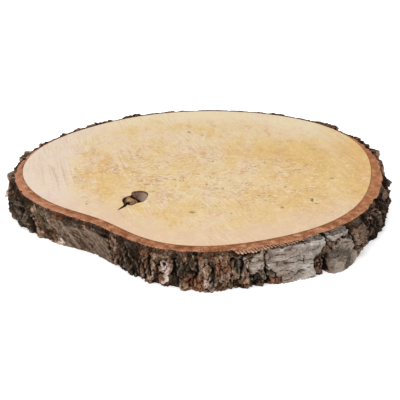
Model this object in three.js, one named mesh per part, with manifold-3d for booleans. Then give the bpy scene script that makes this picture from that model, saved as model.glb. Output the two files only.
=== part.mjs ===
// A slice sawn across a furrow-barked trunk, just where a branch leaves it. Millimetres, +Z up.
// The slice lies flat. Its origin is on the underside, at the middle of the slice's box.
// Directions are degrees from +X, counter-clockwise seen from above, about the pith.
import * as THREE from "three";
import { mergeVertices } from "three/addons/utils/BufferGeometryUtils.js";
import Module from "manifold-3d";

// Driving dimensions.
const THICKNESS = 34;
const HAIRLINE = 0.3; // the shrinkage gap between one layer and the next

// The wood's outline is a round about the pith with bulges and one hollow: where each lies,
// how many degrees it spreads to each side, and how far it stands out.
const WOOD_RADIUS = 138;
const WOOD_BULGES = [
  { at: 24, spread: 43, height: 28 },
  { at: 179, spread: 35, height: 22 }, // the branch's lobe
  { at: 263, spread: 45, height: 25 },
  { at: 323, spread: 31, height: 19 },
  { at: 236, spread: 21, height: -18 }, // the hollow between branch and trunk
];

// Towards the underside the layers draw in at the hollow and flare a little in front.
const LEAN = [
  { at: 230, spread: 26, height: -10 },
  { at: 300, spread: 35, height: 2 },
];

// The inner bark is thin on the far side and thick on the near one.
const INNER_BARK_THIN = 2.6;
const INNER_BARK_THICK = 11;
const INNER_BARK_TURN = 8; // the thick side lies this many degrees past straight in front

// The outer bark's thickness, measured to the crests of its plates.
const OUTER_BARK_WIDTH = 3.2;
const OUTER_BARK_BULGES = [
  { at: 0, spread: 28, height: 7.5 },
  { at: 314, spread: 13, height: 9 },
  { at: 275, spread: 30, height: 5 },
  { at: 196, spread: 13, height: 6 },
];
const OUTER_BARK_LEAST = 0.9; // what is left at the bottom of the deepest furrow

// The share of the outer bark's thickness that stands at each height: its sawn upper edge is
// crumbled away, and its lower one is only rounded.
const BARK_PROFILE = [
  { z: 0, share: 0.9 },
  { z: 3, share: 1 },
  { z: 8, share: 1 },
  { z: 14, share: 1 },
  { z: 20, share: 1 },
  { z: 26, share: 0.98 },
  { z: 31, share: 0.88 },
  { z: 34, share: 0.68 },
];

// Furrows of the near side, from the branch round to the right: where each one lies, how deep
// it cuts, and how many degrees it leans over between the underside and the face.
const NEAR_FURROWS = [
  { at: 187, depth: 5, slant: 1 },
  { at: 192, depth: 7, slant: 2 },
  { at: 197, depth: 7, slant: 1 },
  { at: 202, depth: 6, slant: 2 },
  { at: 207, depth: 5, slant: -1 },
  { at: 213, depth: 3, slant: 1 },
  { at: 243, depth: 3, slant: -3 },
  { at: 248, depth: 6, slant: -4 },
  { at: 252, depth: 6, slant: -4 },
  { at: 257, depth: 5, slant: -2 },
  { at: 264.5, depth: 9, slant: 0 },
  { at: 270, depth: 5, slant: 1 },
  { at: 275, depth: 5, slant: -1 },
  { at: 280, depth: 6, slant: 1 },
  { at: 284, depth: 5, slant: -1 },
  { at: 289, depth: 6, slant: 0 },
  { at: 306.5, depth: 10, slant: 1 },
  { at: 317.5, depth: 8, slant: -1 },
  { at: 322, depth: 7, slant: 1 },
  { at: 328, depth: 9, slant: 0 },
  { at: 334, depth: 7, slant: 1 },
  { at: 340, depth: 8, slant: 0 },
  { at: 346, depth: 7, slant: -1 },
  { at: 353, depth: 7, slant: 1 },
];
const FURROW_HALF_WIDTH = 1.5; // degrees

// Furrows of the far side follow at an even spacing with a little play.
const FAR_FURROWS = { from: 0, to: 182, spacing: 7, play: 2.2, depth: 3, slant: 1.5 };

// Plates between the furrows stand a little higher or lower and are lumpy. Each is broken
// across at a height of its own, and more or less of its sawn edge has crumbled off.
const PLATE_STEP = 1.4;
const LUMP_HEIGHT = 0.5;
const LUMP_WAVES_ROUND = 61;
const LUMP_PITCH = 13; // up the bark
const BREAK_DEPTH = 2;
const BREAK_HALF_HEIGHT = 3;
const CRUMBLE_DEPTH = 2;
const CRUMBLE_HEIGHT = 4; // how far down the wall it reaches

// The smooth branch collar carries neither lumps nor steps.
const COLLAR = { at: 229, spread: 10 };

// The knot is the stub of a dead shoot, in a socket of its own in the wood.
const KNOT = {
  at: 232, // direction from the pith
  away: 87, // distance from the pith
  turn: 11, // its long axis is turned by this much against that direction
  halfLength: 15.5,
  halfWidth: 10,
  depth: 22,
  taper: 0.7, // the lower end's size over the upper's
  play: 0.6, // the dark gap round it
  sunk: 0.5, // it has shrunk below the sawn face
  sides: 36,
};

const KNOT_TOP = THICKNESS - KNOT.sunk;

// A drying crack runs on along the knot's long axis, away from the pith.
const CRACK = { length: 16, width: 4.5, depth: 15 };

// How finely the layers are divided round the trunk.
const LAYER_SIDES = 180;
const BARK_SIDES = 360;

const radians = THREE.MathUtils.degToRad;
const wrap = (angle) => THREE.MathUtils.euclideanModulo(angle + 180, 360) - 180;

// A repeatable draw between 0 and 1 for a whole number.
function draw(number) {
  const wave = Math.sin(number * 12.9898) * 43758.5453;
  return wave - Math.floor(wave);
}

// Sum of the bulges at an angle, each a smooth bell.
function bulging(bulges, angle) {
  return bulges.reduce((sum, { at, spread, height }) => {
    return sum + height * Math.exp(-((wrap(angle - at) / spread) ** 2));
  }, 0);
}

// Outlines of the layers at the height z, as distances from the pith.
function woodRadius(angle, z) {
  const lean = bulging(LEAN, angle) * (1 - z / THICKNESS);
  return WOOD_RADIUS + bulging(WOOD_BULGES, angle) + lean;
}

function innerBarkRadius(angle, z) {
  const near = THREE.MathUtils.smoothstep(-Math.sin(radians(angle - INNER_BARK_TURN)), -0.5, 0.35);
  return woodRadius(angle, z) + THREE.MathUtils.lerp(INNER_BARK_THIN, INNER_BARK_THICK, near);
}

// All furrows in order round the trunk.
function listFurrows() {
  const furrows = [...NEAR_FURROWS];
  const { from, to, spacing, play, depth, slant } = FAR_FURROWS;
  for (let at = from, k = 0; at < to; at += spacing, k += 1) {
    furrows.push({
      at: at + play * (draw(k) - 0.5),
      depth: depth * (0.7 + 0.6 * draw(k + 100)),
      slant: slant * (2 * draw(k + 200) - 1),
    });
  }
  return furrows.sort((a, b) => a.at - b.at);
}

const furrows = listFurrows();

// How far the bark's surface lies below the crests of its plates.
function barkRelief(angle, z) {
  let depth = 0;
  let plate = 0;
  furrows.forEach((furrow, k) => {
    const across = wrap(angle - furrow.at - furrow.slant * (z / THICKNESS - 0.5));
    depth = Math.max(depth, furrow.depth * Math.exp(-((across / FURROW_HALF_WIDTH) ** 2)));
    if (angle > furrow.at) plate = k + 1;
  });
  plate %= furrows.length;
  const step = PLATE_STEP * draw(plate);
  const lump = LUMP_HEIGHT
    * (1 + Math.sin(LUMP_WAVES_ROUND * radians(angle) + (2 * Math.PI * z) / LUMP_PITCH));
  const breakAt = THICKNESS * draw(plate + 50);
  const broken = BREAK_DEPTH * Math.exp(-(((z - breakAt) / BREAK_HALF_HEIGHT) ** 2));
  const crumbled = CRUMBLE_DEPTH * draw(plate + 150)
    * Math.exp(-(((THICKNESS - z) / CRUMBLE_HEIGHT) ** 2));
  const rough = 1 - Math.exp(-((wrap(angle - COLLAR.at) / COLLAR.spread) ** 4));
  return depth + rough * (step + lump + broken + crumbled);
}

function outerBarkRadius(angle, z, share) {
  const width = OUTER_BARK_WIDTH + bulging(OUTER_BARK_BULGES, angle);
  const stands = Math.max(OUTER_BARK_LEAST, width * share - barkRelief(angle, z));
  return innerBarkRadius(angle, z) + stands;
}

// One closed loop of points round the trunk at the height z.
function loop(radius, z, sides) {
  return Array.from({ length: sides }, (_, k) => {
    const angle = (360 * k) / sides;
    const reach = radius(angle, z);
    return new THREE.Vector3(
      reach * Math.cos(radians(angle)),
      reach * Math.sin(radians(angle)),
      z,
    );
  });
}

function geometryOf(points, triangles) {
  const geometry = new THREE.BufferGeometry().setFromPoints(points);
  geometry.setIndex(triangles);
  geometry.computeVertexNormals();
  return geometry;
}

// Triangles between two neighbouring loops of one size, the first vertex of each given. Each
// four-sided field is split from its lower left to its upper right, on rising and on falling
// walls, so that facing walls of two layers are faceted alike and keep their gap.
function band(first, second, sides, falling = false) {
  return Array.from({ length: sides }, (_, k) => {
    const next = (k + 1) % sides;
    const [corner, opposite] = falling ? [second + k, first + next] : [first + k, second + next];
    return falling
      ? [corner, first + k, opposite, corner, opposite, second + next]
      : [corner, first + next, opposite, corner, opposite, second + k];
  }).flat();
}

// A ring: its loops go once round its section, from the inner lower edge outwards.
function ringGeometry(loops) {
  const sides = loops[0].length;
  const triangles = loops.map((one, k) => {
    const after = (k + 1) % loops.length;
    const falling = loops[after][0].z < one[0].z;
    return band(k * sides, after * sides, sides, falling);
  }).flat();
  return geometryOf(loops.flat(), triangles);
}

// A disc between a lower and an upper loop, closed by a flat face about the pith at each end.
function discGeometry(lower, upper) {
  const sides = lower.length;
  const points = [...lower, ...upper];
  points.push(new THREE.Vector3(0, 0, lower[0].z), new THREE.Vector3(0, 0, upper[0].z));
  const [under, over] = [2 * sides, 2 * sides + 1];
  const triangles = band(0, sides, sides);
  for (let k = 0; k < sides; k += 1) {
    const next = (k + 1) % sides;
    triangles.push(next, k, under, sides + k, sides + next, over);
  }
  return geometryOf(points, triangles);
}

// The knot's tapered oval, upright, between two heights, grown all round by the given play.
function plugGeometry(top, bottom, grow) {
  const { halfLength, halfWidth, taper, sides } = KNOT;
  const size = (z) => 1 - ((1 - taper) * (KNOT_TOP - z)) / KNOT.depth;
  const plug = new THREE.CylinderGeometry(size(top), size(bottom), top - bottom, sides);
  plug.rotateX(Math.PI / 2);
  plug.scale(halfLength + grow, halfWidth + grow, 1);
  plug.translate(0, 0, (top + bottom) / 2);
  return plug;
}

// The crack, a wedge that narrows away from the knot.
function crackGeometry(top, bottom) {
  const start = KNOT.halfLength - CRACK.width / 2;
  const shape = new THREE.Shape();
  shape.moveTo(start, -CRACK.width / 2);
  shape.lineTo(start + CRACK.length, 0);
  shape.lineTo(start, CRACK.width / 2);
  shape.closePath();
  const crack = new THREE.ExtrudeGeometry(shape, { depth: top - bottom, bevelEnabled: false });
  crack.translate(0, 0, bottom);
  return crack;
}

// Moves a geometry from the knot's own place to where the knot lies in the slice.
function atKnot(geometry) {
  geometry.rotateZ(radians(KNOT.turn));
  geometry.translate(KNOT.away, 0, 0);
  geometry.rotateZ(radians(KNOT.at));
  return geometry;
}

const wasm = await Module();
wasm.setup();

function toSolid(geometry) {
  const bare = geometry.clone();
  bare.deleteAttribute("normal");
  bare.deleteAttribute("uv");
  const merged = mergeVertices(bare, 1e-4);
  return new wasm.Manifold(new wasm.Mesh({
    numProp: 3,
    vertProperties: new Float32Array(merged.attributes.position.array),
    triVerts: new Uint32Array(merged.index.array),
  }));
}

function toGeometry(solid) {
  const { vertProperties, triVerts } = solid.getMesh();
  const geometry = new THREE.BufferGeometry();
  geometry.setAttribute("position", new THREE.BufferAttribute(vertProperties, 3));
  geometry.setIndex(Array.from(triVerts));
  geometry.computeVertexNormals();
  return geometry;
}

// Sapwood and heartwood in one disc, with the knot's socket and its crack sunk in the face.
function makeWood() {
  const disc = discGeometry(
    loop(woodRadius, 0, LAYER_SIDES),
    loop(woodRadius, THICKNESS, LAYER_SIDES),
  );
  const clear = THICKNESS + 1; // the cutters stand a little out of the face
  const socket = atKnot(plugGeometry(clear, KNOT_TOP - KNOT.depth - HAIRLINE, KNOT.play));
  const crack = atKnot(crackGeometry(clear, THICKNESS - CRACK.depth));
  const solid = toSolid(disc).subtract(toSolid(socket)).subtract(toSolid(crack));
  const material = new THREE.MeshStandardMaterial({ color: "#e4c697", roughness: 0.65 });
  return named("wood", toGeometry(solid), material);
}

function makeKnot() {
  const plug = atKnot(plugGeometry(KNOT_TOP, KNOT_TOP - KNOT.depth, 0));
  const material = new THREE.MeshStandardMaterial({ color: "#7c5438", roughness: 0.7 });
  return named("knot", toGeometry(toSolid(plug)), material);
}

// The living bark, a ring of even height with a hairline to the wood.
function makeInnerBark() {
  const inside = (angle, z) => woodRadius(angle, z) + HAIRLINE;
  const ring = ringGeometry([
    loop(inside, 0, LAYER_SIDES),
    loop(innerBarkRadius, 0, LAYER_SIDES),
    loop(innerBarkRadius, THICKNESS, LAYER_SIDES),
    loop(inside, THICKNESS, LAYER_SIDES),
  ]);
  const material = new THREE.MeshStandardMaterial({ color: "#a46f4e", roughness: 0.85 });
  return named("inner_bark", ring, material);
}

// The dead outer bark, furrowed and broken into plates.
function makeOuterBark() {
  const inside = (angle, z) => innerBarkRadius(angle, z) + HAIRLINE;
  const wall = BARK_PROFILE.map(({ z, share }) => {
    return loop((angle) => outerBarkRadius(angle, z, share), z, BARK_SIDES);
  });
  const ring = ringGeometry([
    loop(inside, 0, BARK_SIDES),
    ...wall,
    loop(inside, THICKNESS, BARK_SIDES),
  ]);
  const material = new THREE.MeshStandardMaterial({ color: "#5a4636", roughness: 0.95 });
  return named("outer_bark", ring, material);
}

function named(name, geometry, material) {
  const mesh = new THREE.Mesh(geometry, material);
  mesh.name = name;
  return mesh;
}

// The layers are laid out about the pith, then moved so that the origin is the box's middle.
const slice = new THREE.Group();
slice.add(makeWood(), makeKnot(), makeInnerBark(), makeOuterBark());
const middle = new THREE.Box3().setFromObject(slice).getCenter(new THREE.Vector3());
slice.position.set(-middle.x, -middle.y, 0);
slice.updateMatrixWorld(true);

export default slice;
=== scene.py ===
# %% [markdown]
# # A wood slice
# One slice sawn across a furrow-barked trunk: a pale wood face with a knot, a terracotta ring of
# inner bark and a dark, cracked outer bark. The solid model gives its place and its size. This
# lesson gives it its finish, layer by layer, from numbers and formulas alone.

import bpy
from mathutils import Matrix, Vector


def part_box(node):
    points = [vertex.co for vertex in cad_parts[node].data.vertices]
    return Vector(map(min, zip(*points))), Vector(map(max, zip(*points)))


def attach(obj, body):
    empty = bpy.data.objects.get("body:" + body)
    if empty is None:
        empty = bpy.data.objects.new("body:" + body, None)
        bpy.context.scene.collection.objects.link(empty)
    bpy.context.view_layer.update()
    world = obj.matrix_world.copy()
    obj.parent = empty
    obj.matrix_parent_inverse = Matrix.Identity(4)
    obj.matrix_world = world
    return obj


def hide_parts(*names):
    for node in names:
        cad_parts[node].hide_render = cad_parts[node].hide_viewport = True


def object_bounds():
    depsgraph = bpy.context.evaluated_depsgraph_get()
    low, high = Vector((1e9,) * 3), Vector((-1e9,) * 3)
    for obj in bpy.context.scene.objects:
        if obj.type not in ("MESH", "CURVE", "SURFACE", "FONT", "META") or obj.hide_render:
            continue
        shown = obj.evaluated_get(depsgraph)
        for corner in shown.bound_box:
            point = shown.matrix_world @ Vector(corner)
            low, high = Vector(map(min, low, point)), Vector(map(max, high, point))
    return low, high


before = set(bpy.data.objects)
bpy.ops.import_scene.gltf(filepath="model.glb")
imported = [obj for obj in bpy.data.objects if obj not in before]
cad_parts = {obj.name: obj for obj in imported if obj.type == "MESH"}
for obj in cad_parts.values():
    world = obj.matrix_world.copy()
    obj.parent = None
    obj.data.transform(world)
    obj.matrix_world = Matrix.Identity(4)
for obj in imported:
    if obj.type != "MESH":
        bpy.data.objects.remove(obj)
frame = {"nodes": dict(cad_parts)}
solid_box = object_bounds()
print("solid model of", ", ".join(frame["nodes"]))
print("its box", [[round(float(v), 4) for v in corner] for corner in solid_box])

# %% [markdown]
# ## Units and libraries
# Blender counts in metres, but a slice of wood is measured in millimetres. So the slice's lengths
# below are in millimetres and become metres where a mesh is made, while the camera, the lamp and
# the floor are placed in metres. The slice lies on the floor, so the top of the solid model's box
# is its thickness. NumPy works on a whole grid of points at once, which is shorter and faster than
# a loop over them.

# %% Libraries
import itertools
import math

import bpy
import numpy as np
from mathutils import Vector
from mathutils.geometry import delaunay_2d_cdt

MM = 0.001
THICKNESS = round(float(solid_box[1][2]) / MM, 1)
scene = bpy.context.scene

# %% [markdown]
# ## Camera
# The picture to match looks down on the slice by 25 degrees from 1.3 m away. A long lens from that
# far away keeps the near and the far rim close in scale. The slice lies a little off the picture's
# middle, so the lens is shifted by a few pixels, which bends no line.

# %% Camera
PICTURE = 400  # its width and height in pixels
CAMERA_DISTANCE = 1.3
CAMERA_DROP = math.radians(25)
SEEN_MIDDLE = Vector((-2.4, -10.9, THICKNESS / 2)) * MM
SEEN_AT = (199, 196)  # the pixel where that point shows
SENSOR = 36.0  # its width in mm
PIXELS_PER_METRE = 1086.0  # at the camera's distance

camera_data = bpy.data.cameras.new("camera")
camera_data.sensor_width = SENSOR
camera_data.lens = SENSOR * PIXELS_PER_METRE * CAMERA_DISTANCE / PICTURE
camera_data.shift_x = (PICTURE / 2 - SEEN_AT[0]) / PICTURE
camera_data.shift_y = (SEEN_AT[1] - PICTURE / 2) / PICTURE
camera = bpy.data.objects.new("camera", camera_data)
scene.collection.objects.link(camera)
back = Vector((0, -math.cos(CAMERA_DROP), math.sin(CAMERA_DROP)))
camera.location = SEEN_MIDDLE + back * CAMERA_DISTANCE
camera.rotation_euler = (math.pi / 2 - CAMERA_DROP, 0, 0)
scene.camera = camera
print("lens", round(camera_data.lens, 1), "mm")

# %% [markdown]
# ## Light and floor
# A product picture on white has light from all round and one large soft lamp from above. The
# white world does the first, and an area lamp, large against the slice, does the second: it gives
# the furrows their dark side without a hard shadow. The floor is plain and pale, and glows a little,
# like a light table, so that the picture's ground stays white.

# %% Light and floor
SKY = 0.55
LAMP_WATTS = 27
LAMP_SIDE = 1.9
LAMP_PLACE = Vector((-0.35, -0.6, 1.8))
FLOOR_SIDE = 8.0
FLOOR_GLOW = 0.45

scene.view_settings.view_transform = "Standard"
world = bpy.data.worlds.new("white")
world.use_nodes = True
world.node_tree.nodes["Background"].inputs["Color"].default_value = (1, 1, 1, 1)
world.node_tree.nodes["Background"].inputs["Strength"].default_value = SKY
scene.world = world

lamp_data = bpy.data.lights.new("soft_lamp", "AREA")
lamp_data.size = LAMP_SIDE
lamp_data.energy = LAMP_WATTS
lamp = bpy.data.objects.new("soft_lamp", lamp_data)
scene.collection.objects.link(lamp)
lamp.location = LAMP_PLACE
lamp.rotation_euler = LAMP_PLACE.to_track_quat("Z", "Y").to_euler()

floor_half = FLOOR_SIDE / 2
floor_mesh = bpy.data.meshes.new("floor")
floor_corners = [(x * floor_half, y * floor_half, 0) for x, y in ((-1, -1), (1, -1), (1, 1), (-1, 1))]
floor_mesh.from_pydata(floor_corners, [], [(0, 1, 2, 3)])
floor = bpy.data.objects.new("floor", floor_mesh)
scene.collection.objects.link(floor)
print("lamp", LAMP_WATTS, "W,", LAMP_SIDE, "m wide")

# %% [markdown]
# ## Expressions that write shaders
# A material is a graph of nodes, and a long one is hard to read. This class wraps one output
# socket, so that a sum or a product in Python adds the Math node that works it out. Colours and
# vectors go through Mix and Vector Math instead, and every other node comes from one method.

# %% A socket that can be calculated with
def pick(sockets, which):
    """One of a node's sockets that are in use, by its place among them or by its name."""
    used = [socket for socket in sockets if socket.enabled]
    return used[which] if isinstance(which, int) else next(s for s in used if s.name == which)


class Paint:
    """One output socket of a material's nodes."""

    def __init__(self, tree, socket=None):
        self.tree = tree
        self.socket = socket

    def node(self, kind, settings=(), sockets=(), output=0):
        """Adds a node: its settings first, then the values or the links of its inputs."""
        made = self.tree.nodes.new(kind)
        for name, value in dict(settings).items():
            if name == "stops":
                fill_ramp(made.color_ramp, value)
            else:
                setattr(made, name, value)
        for name, value in dict(sockets).items():
            socket = pick(made.inputs, name)
            if isinstance(value, Paint):
                self.tree.links.new(value.socket, socket)
            else:
                socket.default_value = value
        return Paint(self.tree, pick(made.outputs, output))

    def maths(self, operation, *values):
        """Adds a Math node for numbers and Paints."""
        return self.node("ShaderNodeMath", {"operation": operation}, enumerate(values))

    def __add__(self, other):
        return self.maths("ADD", self, other)

    def __sub__(self, other):
        return self.maths("SUBTRACT", self, other)

    def __rsub__(self, other):
        return self.maths("SUBTRACT", other, self)

    def __mul__(self, other):
        return self.maths("MULTIPLY", self, other)

    def __truediv__(self, other):
        return self.maths("DIVIDE", self, other)

    __radd__ = __add__
    __rmul__ = __mul__

    def ease(self, low, high, first=0.0, last=1.0):
        """Goes smoothly from first to last while this value goes from low to high."""
        ends = {"Value": self, "From Min": low, "From Max": high, "To Min": first, "To Max": last}
        return self.node("ShaderNodeMapRange", {"interpolation_type": "SMOOTHSTEP"}, ends)


def fill_ramp(ramp, stops):
    """Puts (position, colour) stops on a new colour ramp."""
    while len(ramp.elements) < len(stops):
        ramp.elements.new(1)
    for element, (position, colour) in zip(ramp.elements, stops):
        element.position = position
        element.color = colour


print("a Paint has", ", ".join(name for name in vars(Paint) if name[0] != "_"))

# %% [markdown]
# ## Colours and patterns
# Colours are written as they look on a screen and turned into the linear numbers in which light is
# counted. A pattern is noise at a place that was divided by the size of its lumps, so each size can
# be read in millimetres. Every material starts from the place on the object or a value of its
# points, and ends in a colour, a roughness and a bump.

# %% Colours, mixing and noise
def rgb(red, green, blue):
    """A screen colour of 0 to 255 as the linear colour that a shader needs."""
    parts = [v / 255 for v in (red, green, blue)]
    linear = [v / 12.92 if v <= 0.04045 else ((v + 0.055) / 1.055) ** 2.4 for v in parts]
    return (*linear, 1)


def mix(share, first, second, blend="MIX"):
    """first at share 0 and second, or its blend with first, at share 1. One of them is a Paint."""
    maker = next(value for value in (share, first, second) if isinstance(value, Paint))
    settings = {"data_type": "RGBA", "blend_type": blend}
    return maker.node("ShaderNodeMix", settings, {"Factor": share, "A": first, "B": second})


def at_scale(place, across, along, up):
    """The place divided by three lengths in mm, so that a pattern of size 1 becomes that long."""
    size = (1 / across, 1 / along, 1 / up)
    return place.node("ShaderNodeVectorMath", {"operation": "MULTIPLY"}, [(0, place), (1, size)])


def speckle(place, detail=2.0, rough=0.5, warp=0.0):
    """Noise from 0 to 1 whose lumps are about 1 wide in the given place."""
    values = {"Vector": place, "Scale": 1.0, "Detail": detail, "Roughness": rough, "Distortion": warp}
    return place.node("ShaderNodeTexNoise", {}, values)


def start_material(name):
    """A new material: its shader node, and a Paint of the place on the object in mm."""
    material = bpy.data.materials.new(name)
    material.use_nodes = True
    tree = material.node_tree
    place = Paint(tree).node("ShaderNodeTexCoord", output="Object")
    millimetres = {"operation": "SCALE"}
    place = place.node("ShaderNodeVectorMath", millimetres, {"Vector": place, "Scale": 1 / MM})
    return material, tree.nodes["Principled BSDF"], place


def measured(place, name):
    """A value that the mesh carries at each of its points."""
    return place.node("ShaderNodeAttribute", {"attribute_name": name}, output="Fac")


def finish_material(shader, colour, roughness, gloss, height, depth):
    """Links the colour, the roughness and a bump of the given height map and depth in mm."""
    tree = shader.id_data
    tree.links.new(colour.socket, shader.inputs["Base Color"])
    tree.links.new(roughness.socket, shader.inputs["Roughness"])
    shader.inputs["Specular IOR Level"].default_value = gloss
    bump_values = {"Strength": 1.0, "Distance": depth * MM, "Height": height}
    bump = height.node("ShaderNodeBump", {}, bump_values)
    tree.links.new(bump.socket, shader.inputs["Normal"])
    print("material of", len(tree.nodes), "nodes")


floor_material, floor_shader = start_material("pale_floor")[:2]
floor_shader.inputs["Base Color"].default_value = rgb(253, 253, 253)
floor_shader.inputs["Roughness"].default_value = 0.9
floor_shader.inputs["Emission Color"].default_value = (1, 1, 1, 1)
floor_shader.inputs["Emission Strength"].default_value = FLOOR_GLOW
floor_mesh.materials.append(floor_material)
print("screen grey 128 is", round(rgb(128, 128, 128)[0], 3), "in linear numbers")

# %% [markdown]
# ## Random shapes that are the same each time
# Bark has no two cracks alike, but a script must give the same bark on every run. The two patterns
# below draw their numbers from the place itself: one gives soft lumps, the other cuts space into
# cells with a tone each, as bark breaks into plates. Working in space and not round the trunk
# leaves no seam.

# %% Lumps and plates
def draw(cell, seed):
    """A number from 0 to 1 for each whole-number cell, always the same for that cell."""
    # multiplying by large odd numbers and shifting stirs the bits
    x, y, z = cell[..., 0], cell[..., 1], cell[..., 2]
    mixed = x * 73856093 ^ y * 19349663 ^ z * 83492791 ^ seed * 2654435761
    mixed = (mixed & 0xFFFFFFFF) * 1274126177 & 0xFFFFFFFF
    mixed = (mixed ^ (mixed >> 15)) * 2246822519 & 0xFFFFFFFF
    return ((mixed ^ (mixed >> 13)) & 0xFFFFFF) / 0xFFFFFF


def draw_row(count, seed):
    """A number from 0 to 1 for each of that many things in a row."""
    number = np.arange(count)
    return draw(np.stack([number, number * 0, number * 0], axis=-1), seed)


def smooth(low, high, value):
    """0 below low, 1 above high and a soft step between them."""
    share = np.clip((value - low) / (high - low), 0, 1)
    return share * share * (3 - 2 * share)


def lumps(place, size, seed):
    """Soft noise from 0 to 1 at places in mm, with lumps of the given size along x, y and z."""
    scaled = place / np.array(size) + seed * 7.31
    cell = np.floor(scaled).astype(np.int64)
    part = scaled - cell
    part = part * part * (3 - 2 * part)
    total = 0
    for corner in itertools.product((0, 1), repeat=3):
        weight = np.prod(np.where(corner, part, 1 - part), axis=-1)
        total = total + weight * draw(cell + np.array(corner), seed)
    return total


def plates(place, size, seed):
    """For cells of about that size: how far each place is from its cell's edge, and the cell's tone."""
    scaled = place / np.array(size)
    cell = np.floor(scaled).astype(np.int64)
    nearest = np.full(place.shape[:-1], 9.0)
    second = nearest.copy()
    tone = np.zeros_like(nearest)
    for step in itertools.product((-1, 0, 1), repeat=3):
        other = cell + np.array(step)
        centre = other + np.stack([draw(other, seed + k) for k in range(3)], axis=-1)
        away = np.linalg.norm(centre - scaled, axis=-1)
        closer = away < nearest
        second = np.where(closer, nearest, np.minimum(second, away))
        tone = np.where(closer, draw(other, seed + 3), tone)
        nearest = np.where(closer, away, nearest)
    return second - nearest, tone


trial = lumps(np.linspace((0, 0, 0), (90, 60, 30), 200), (5, 5, 5), 1)
print("lumps along a line go from", trial.min().round(2), "to", trial.max().round(2))

# %% [markdown]
# ## The outline of each layer
# A trunk grows a ring a year on all sides, so its layers share one middle, the pith. Each layer's
# edge is a distance from the pith that changes with the direction: a circle with a few bulges and
# one waist, where the branch on the left joins. The formulas are those of the solid model, and the
# wood's box says where the pith lies.

# %% Outlines about the pith
WOOD_RADIUS = 138.0
WOOD_BULGES = [  # direction and spread in degrees, then height in mm
    (24, 43, 28), (179, 35, 22), (263, 45, 25), (323, 31, 19), (236, 21, -18),
]
LEAN = [(230, 26, -10), (300, 35, 2)]  # the same for the foot, which lies in or out from the top
INNER_BARK_THIN = 2.6
INNER_BARK_THICK = 11.0
INNER_BARK_TURN = 8
HAIRLINE = 0.15  # between a layer and the next


def wrap(angle):
    """The same angle between -180 and 180 degrees."""
    return (angle + 180) % 360 - 180


def bulging(bulges, angle):
    """The sum of soft bulges, each with a direction, a spread and a height."""
    return sum(high * np.exp(-((wrap(angle - at) / spread) ** 2)) for at, spread, high in bulges)


def wood_radius(angle, height):
    """The distance of the wood's edge from the pith, in mm."""
    lean = bulging(LEAN, angle) * (1 - height / THICKNESS)
    return WOOD_RADIUS + bulging(WOOD_BULGES, angle) + lean


def inner_bark_radius(angle, height):
    """The distance of the inner bark's even outer edge from the pith, in mm."""
    share = smooth(-0.5, 0.35, -np.sin(np.radians(angle - INNER_BARK_TURN)))
    return wood_radius(angle, height) + INNER_BARK_THIN + (INNER_BARK_THICK - INNER_BARK_THIN) * share


def around(radius, angle):
    """Points in the plane at those distances and directions from the pith, in mm."""
    turn = np.radians(angle)
    return np.stack([PITH[0] + radius * np.cos(turn), PITH[1] + radius * np.sin(turn)], axis=-1)


PITH = np.zeros(2)  # until the wood's box has told where it lies
all_round = np.arange(0, 360, 0.5)
rims = np.concatenate([around(wood_radius(all_round, height), all_round) for height in (0, THICKNESS)])
wood_low, wood_high = (np.array(corner)[:2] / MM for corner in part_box("wood"))
PITH = (wood_low + wood_high) / 2 - (rims.min(0) + rims.max(0)) / 2
print("pith at", PITH.round(2), "mm")

# %% [markdown]
# ## Meshes from arrays
# A bark ring is a section swept round the trunk, but no two sections are alike, so an array of
# points does it better than a sweep: one row for each point of the section and one column for
# each direction. Both ends of both join up, which gives a closed ring. Each point also carries
# measured values, such as how deep it lies in a crack, and the materials read those.

# %% From array to piece
SHARP_EDGE = math.radians(50)


def make_piece(name, points, faces, values, material, replaced=None):
    """A mesh object from points in mm, with values for its material, riding on the slice."""
    mesh = bpy.data.meshes.new(name)
    mesh.from_pydata((points * MM).tolist(), [], faces)
    for key, numbers in values.items():
        attribute = mesh.attributes.new(key, "FLOAT", "POINT")
        attribute.data.foreach_set("value", np.asarray(numbers, dtype=np.float32).ravel())
    mesh.materials.append(material)
    mesh.shade_smooth()
    mesh.set_sharp_from_angle(angle=SHARP_EDGE)
    piece = bpy.data.objects.new(name, mesh)
    scene.collection.objects.link(piece)
    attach(piece, "root")
    if replaced:
        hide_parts(replaced)
    print(name, len(faces), "faces")


def ring_faces(rows, columns):
    """Four-sided faces of a closed ring: point row * columns + column, both ways joined up."""
    row, column = np.meshgrid(np.arange(rows), np.arange(columns), indexing="ij")
    below = (row + 1) % rows * columns
    beside = (column + 1) % columns
    corners = (row * columns + column, row * columns + beside, below + beside, below + column)
    return np.stack(corners, axis=-1).reshape(-1, 4).tolist()


def ring_points(angle, radius, height):
    """The points of a ring from its grids of directions, distances and heights."""
    plan = around(radius, angle)
    return np.concatenate([plan, height[..., None]], axis=-1)


print("a ring of 3 by 4 points has", len(ring_faces(3, 4)), "faces")

# %% [markdown]
# ## Outer bark: the large furrows
# The dead bark can't grow with the trunk, so it splits along it. The deep furrows are where the
# solid model has them, or close by: from a short list on the near side and an even row on the far
# side. Here each wanders from side to side and runs deep and shallow, as real splits do.

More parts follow.
